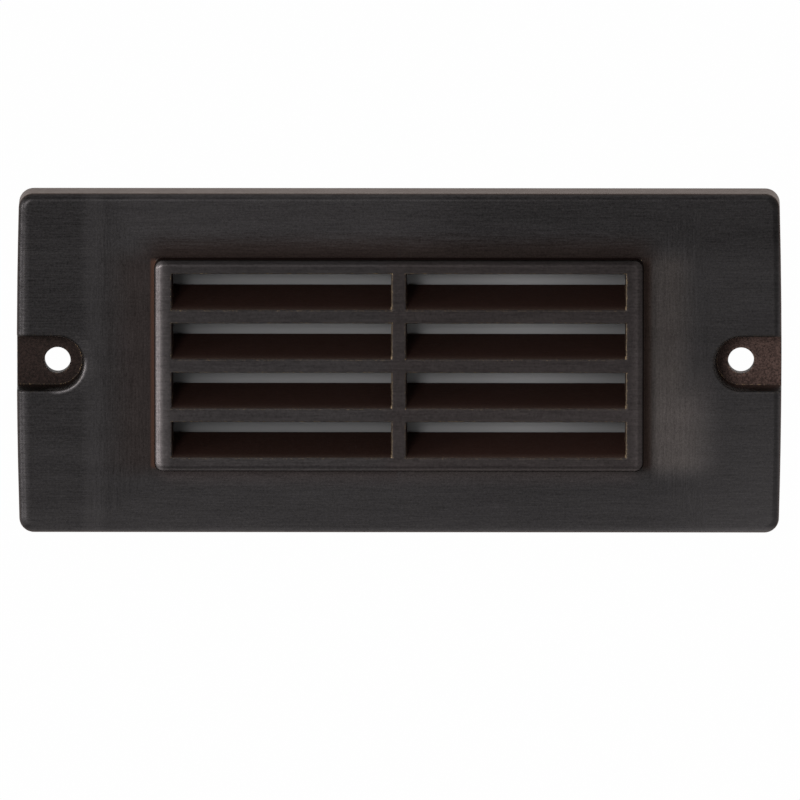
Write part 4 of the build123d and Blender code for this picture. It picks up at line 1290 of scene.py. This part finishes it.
@dataclass
class Wiring(Assembly):
    """Terminal block with its clamps and screws, and the two leads from it to the lampholder."""

    route: tuple[tuple[float, float], ...] = ((0.5, 44.0), (-47.5, 44.0), (-47.5, 18.6), (-30.0, 18.6))
    lead_z: float = 5.0
    lead_diameter: float = 1.8
    lead_length: float = 80.0
    clamp_screw: Screw = Screw(
        diameter=2.5, length=5.0, pitch=0.45, head_diameter=0.0, head_height=0.0, drive=Drive.SLOT,
        recess_width=0.24, recess_reach=0.44, recess_depth=0.24,
    )
    block_screw: Screw = Screw(length=18.2)
    clamp_x: tuple[float, float] = (-1.0, 9.0)
    block_x: float = 4.0
    seat_y: float = 38.0

    def lead(self, name: str, z: float, colour: Colour, slot: str, node: str) -> None:
        """Run one lead as a cord whose line is smooth, with the route as its control points.

        Args:
            name: The piece's name.
            z: Height of the lead.
            colour: Colour of its insulation.
            slot: Not used.
            node: The CAD node that it replaces.
        """
        line = bpy.data.curves.new(name, "CURVE")
        line.dimensions = "3D"
        line.bevel_depth = 0.5 * self.lead_diameter * MM
        line.bevel_resolution = 5
        line.resolution_u = 24
        line.use_fill_caps = True
        points = np.array([(x, y, z, 1.0 / MM) for x, y in self.route]) * MM
        spline = line.splines.new("NURBS")
        spline.points.add(len(points) - 1)
        spline.points.foreach_set("co", points.ravel())
        spline.order_u = 3
        spline.use_endpoint_u = True
        insulation = Moulded(
            name + "_insulation", colour=colour, roughness=0.36, grain_pitch=0.9, grain_depth=0.01,
            variation=0.06, edge=colour, edge_share=0.0,
        )
        line.materials.append(insulation.material())
        made = link(name, line)
        stand_for(made, "housing", node)
        log.info("ran %s in %s", name, insulation.name)

    def build(self) -> None:
        """Run the leads, dress the block and clamps and set their screws."""
        self.lead("supply_lead", self.lead_z, (0.028, 0.028, 0.030), "lead_black", "lead_supply")
        self.lead("return_lead", -self.lead_z, (0.80, 0.80, 0.77), "lead_white", "lead_return")
        block = Moulded(
            "terminal_nylon", colour=(0.76, 0.76, 0.73), roughness=0.40, grain_pitch=0.6, grain_depth=0.012,
            variation=0.05, edge=(0.86, 0.86, 0.84), edge_share=0.4,
        )
        dress("terminal_block", block.material())
        dress("terminal_clamps", self.palette.brass)
        places = grid(self.clamp_x, self.seat_y, (-self.lead_z, self.lead_z))
        self.clamp_screw.drive_in(self.palette.steel, Facing.FRONT, places, "terminal_screws")
        places = grid((self.block_x,), self.seat_y, (0.0,))
        self.block_screw.drive_in(self.palette.steel, Facing.FRONT, places, "terminal_block_screw")


@dataclass
class CableGland(Assembly):
    """Cable gland on the supply entry: washer, threaded body, seal and clamping nut on one axis."""

    centre_x: float = 50.0
    flats: float = 20.0
    chamfer_radius: float = 10.9
    edge_break: float = 0.4
    body_chamfer: float = 0.5
    nut_chamfer: float = 0.8
    places: int = 72
    body_y: float = 62.5
    thread_diameter: float = 16.0
    thread_pitch: float = 1.5
    thread_length: float = 10.5
    hex_height: float = 6.0
    neck_diameter: float = 15.0
    neck_pitch: float = 1.0
    neck_height: float = 9.0
    bore_radius: float = 5.0
    seat_radius: float = 6.3
    seat_y: float = 69.5
    seal_radius: float = 3.8
    seal_length: float = 9.0
    groove_depth: float = 0.36
    grooves: float = 3.0
    nut_y: float = 69.0
    nut_skirt: float = 9.5
    nut_dome: float = 6.0
    nut_bore_radius: float = 7.58
    dome_bulge: float = 0.35
    mouth_radius: float = 4.7
    nose_radius: float = 7.0

    def angles(self) -> np.ndarray:
        """Even angles round the axis, among them the hexagon's corners."""
        return np.arange(self.places) * math.tau / self.places

    def hexagonal(self, height: float, chamfer: float) -> np.ndarray:
        """Rings of a hexagon up to a height, with both ends cut back to the chamfer's circle.

        Args:
            height: Its height.
            chamfer: Height of the cut at each end.

        Returns:
            The rings.
        """
        full = hexagon(self.flats, self.angles())
        cut = np.minimum(full, self.chamfer_radius)
        heights = np.array([0.0, chamfer, height - chamfer, height])[:, None]
        return rings(np.stack([cut, full, full, cut]), heights, self.angles())

    def bored(self, parts: list[np.ndarray], y: float) -> Skin:
        """Skin of a bored piece at its place on the gland's axis."""
        return Skin.turned(np.concatenate(parts), hollow=True).at(Facing.BACK, (self.centre_x, y, 0.0))

    def body(self) -> Skin:
        """Entry thread, hexagon, threaded neck, and inside it the seal's seat and the bore.

        Returns:
            The skin.
        """
        angles, ease = self.angles(), self.edge_break
        top, seat, end = self.hex_height + self.neck_height, self.seat_y - self.body_y, -self.thread_length
        inside = [
            (self.seat_radius + ease, top), (self.seat_radius, top - ease), (self.seat_radius, seat),
            (self.bore_radius, seat), (self.bore_radius, end + ease), (self.bore_radius + ease, end),
        ]
        return self.bored([
            threaded(self.thread_diameter, self.thread_pitch, end, 0.0, angles),
            self.hexagonal(self.hex_height, self.body_chamfer),
            threaded(self.neck_diameter, self.neck_pitch, self.hex_height, top, angles),
            lathe(inside, angles),
        ], self.body_y)

    def seal(self) -> Skin:
        """Rubber sleeve with rounded ends and grooves in its bore, a cosine of the height.

        Returns:
            The skin.
        """
        share = np.linspace(1.0, 0.0, 25)
        bore = self.seal_radius + 0.5 * self.groove_depth * (1.0 - np.cos(self.grooves * math.tau * share))
        eased, ease = self.seat_radius - self.edge_break, self.edge_break
        outside = [(eased, 0.0), (self.seat_radius, ease)]
        outside += [(self.seat_radius, self.seal_length - ease), (eased, self.seal_length)]
        inside = list(zip(bore.tolist(), (share * self.seal_length).tolist()))
        return self.bored([lathe(outside + inside, self.angles())], self.seat_y)

    def nut(self) -> Skin:
        """Hexagonal skirt, domed nose that narrows with a slight sine bulge, mouth and bore.

        Returns:
            The skin.
        """
        top, nose = self.nut_skirt + self.nut_dome, self.nose_radius
        share = np.linspace(0.0, 0.84, 8)
        wide = 0.5 * self.flats
        radius = wide - (wide - nose) * share + self.dome_bulge * np.sin(math.pi * share)
        dome = list(zip(radius.tolist(), (self.nut_skirt + self.nut_dome * share).tolist()))
        tip = [(nose - 0.1, top - 0.35), (nose - 0.6, top - 0.05), (nose - 1.1, top)]
        inside = [
            (self.mouth_radius + 0.3, top), (self.mouth_radius, top - 0.3), (self.mouth_radius, self.nut_skirt),
            (self.nut_bore_radius, self.nut_skirt), (self.nut_bore_radius, self.edge_break),
            (self.nut_bore_radius + self.edge_break, 0.0),
        ]
        nose_and_bore = lathe(dome + tip + inside, self.angles())
        return self.bored([self.hexagonal(self.nut_skirt, self.nut_chamfer), nose_and_bore], self.nut_y)

    def build(self) -> None:
        """Make the body, seal and nut, and dress the washer."""
        dress("gland_washer", self.palette.rubber)
        self.body().piece("gland_body_threaded", self.palette.nylon, "housing", "gland_nylon", "gland_body")
        self.seal().piece("gland_seal_grooved", self.palette.rubber, "housing", "gland_rubber", "gland_seal")
        self.nut().piece("gland_nut_domed", self.palette.nylon, "gland_nut", "gland_nylon", "gland_nut")


@dataclass
class EntryPlug(Assembly):
    """Screw plug with its O-ring in the spare entry."""

    centre_x: float = -50.0
    seat_y: float = 62.5
    plug: Screw = Screw(
        diameter=16.0, length=10.5, pitch=1.5, head_diameter=21.0, head_height=4.5, drive=Drive.SLOT,
        recess_width=0.114, recess_reach=0.3095, recess_depth=0.444, rounding=0.27, places=144, grips=24,
    )

    def build(self) -> None:
        """Make the plug and dress its ring."""
        dress("entry_plug_oring", self.palette.rubber)
        skin = self.plug.skin(Facing.BACK, [(self.centre_x, self.seat_y, 0.0)])
        skin.piece("entry_plug_gripped", self.palette.nylon, "housing", "gland_nylon", "entry_plug")


# ------------------------------------------------------------------ studio
@dataclass
class Studio:
    """Pale floor, white surroundings, two soft lamps and the camera at the photograph's angle."""

    azimuth: float = 0.4
    elevation: float = 6.65
    distance: float = 6.0
    lens: float = 880.4
    sensor: float = 36.0
    clip: tuple[float, float] = (0.05, 60.0)
    aim: Colour = (0.0003, -0.0175, -0.0110)
    floor_level: float = -0.30
    floor_half: float = 15.0
    floor_white: float = 0.985
    ambient: float = 0.55
    lamp_reach: float = 4.0
    lamp_side: float = 1.06

    def build(self) -> None:
        """Put up the camera, floor, world and lamps."""
        self.place_camera()
        self.lay_floor()
        self.light_world()
        self.hang_lamp("key", azimuth=-19.0, elevation=10.5, radiance=24.0)
        self.hang_lamp("side", azimuth=-64.0, elevation=7.0, radiance=16.0)

    @staticmethod
    def direction(azimuth: float, elevation: float) -> Vector:
        """Unit vector toward this azimuth (0 is -Y, negative is left) and elevation."""
        turn, rise = math.radians(azimuth), math.radians(elevation)
        return Vector((math.sin(turn) * math.cos(rise), -math.cos(turn) * math.cos(rise), math.sin(rise)))

    @staticmethod
    def aimed(name: str, data: bpy.types.ID, place: Vector, aim: Vector) -> bpy.types.Object:
        """Put a lamp or camera at its place and turn it to its aim.

        Args:
            name: The object's name.
            data: The lamp or camera.
            place: Where it stands.
            aim: What it looks at.

        Returns:
            The object.
        """
        made = link(name, data)
        made.location = place
        made.rotation_euler = (aim - made.location).to_track_quat("-Z", "Y").to_euler()
        return made

    def place_camera(self) -> None:
        """A long lens at the photograph's viewing angle."""
        camera = bpy.data.cameras.new("camera")
        camera.lens = self.lens
        camera.sensor_width = self.sensor
        camera.clip_start, camera.clip_end = self.clip
        aim = Vector(self.aim)
        place = aim + self.direction(self.azimuth, self.elevation) * self.distance
        bpy.context.scene.camera = self.aimed("camera", camera, place, aim)

    @staticmethod
    def seen_ray(bench: Bench) -> Socket:
        """1 for camera, glossy and transmission rays, and 0 for the others."""
        path = bench.node("ShaderNodeLightPath").outputs
        return bench.most(path["Is Camera Ray"], path["Is Glossy Ray"], path["Is Transmission Ray"])

    @staticmethod
    def bench(owner: bpy.types.Material | bpy.types.World) -> Bench:
        """Bench of an emptied material or world.

        Args:
            owner: The material or world.

        Returns:
            Its bench.
        """
        owner.use_nodes = True
        owner.node_tree.nodes.clear()
        return Bench(owner.node_tree)

    @staticmethod
    def mixed(bench: Bench, share: Value, first: Node, second: Node, output: str) -> None:
        """Bring two shaders to the tree's output.

        Args:
            bench: The tree's bench.
            share: Share of the second shader.
            first: The first shader's node.
            second: The second shader's node.
            output: Blender's type name of the output node.
        """
        both = bench.node("ShaderNodeMixShader", {0: share, 1: first.outputs[0], 2: second.outputs[0]})
        bench.node(output, {"Surface": both.outputs[0]})

    def lay_floor(self) -> None:
        """A wide pale floor well below the light, which hangs on a wall."""
        half, level = self.floor_half, self.floor_level
        mesh = bpy.data.meshes.new("floor")
        rim = [(-half, -half, level), (half, -half, level), (half, half, level), (-half, half, level)]
        mesh.from_pydata(rim, [], [(0, 1, 2, 3)])
        floor = link("floor", mesh)
        material = bpy.data.materials.new("pale_floor")
        bench = self.bench(material)
        matt = bench.node("ShaderNodeBsdfPrincipled", {"Base Color": (0.9, 0.9, 0.9), "Roughness": 0.9})
        share = bench.product(self.seen_ray(bench), self.floor_white)
        self.mixed(bench, share, matt, bench.node("ShaderNodeEmission"), "ShaderNodeOutputMaterial")
        mesh.materials.append(material)

    def light_world(self) -> None:
        """White where it is seen or mirrored, dimmer where it lights matt surfaces."""
        world = bpy.data.worlds.new("surroundings")
        bpy.context.scene.world = world
        bench = self.bench(world)
        seen, lit = (
            bench.node("ShaderNodeBackground", {"Color": (1.0, 1.0, 1.0), "Strength": strength})
            for strength in (1.0, self.ambient)
        )
        self.mixed(bench, self.seen_ray(bench), lit, seen, "ShaderNodeOutputWorld")

    def hang_lamp(self, name: str, azimuth: float, elevation: float, radiance: float) -> None:
        """Hang a square soft lamp that faces the object.

        Args:
            name: The lamp's name.
            azimuth: Degrees from the front, negative to the left.
            elevation: Degrees above the level.
            radiance: Brightness of its face, where 1 is white.
        """
        lamp = bpy.data.lights.new(name, "AREA")
        lamp.shape = "SQUARE"
        lamp.size = self.lamp_side
        lamp.energy = radiance * math.pi * self.lamp_side ** 2
        self.aimed(name, lamp, self.direction(azimuth, elevation) * self.lamp_reach, Vector())


def main() -> None:
    """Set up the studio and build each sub-assembly in turn."""
    logging.basicConfig(level=logging.INFO, format="%(name)s: %(message)s")
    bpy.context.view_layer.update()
    bpy.context.scene.view_settings.view_transform = "Standard"
    Studio().build()
    palette = Palette()
    for kind in (Wiring, Faceplate, Window, Housing, ReflectorTray, Lampholder, Lamp, CableGland, EntryPlug):
        kind(palette).build()


if __name__ == "__main__":
    main()
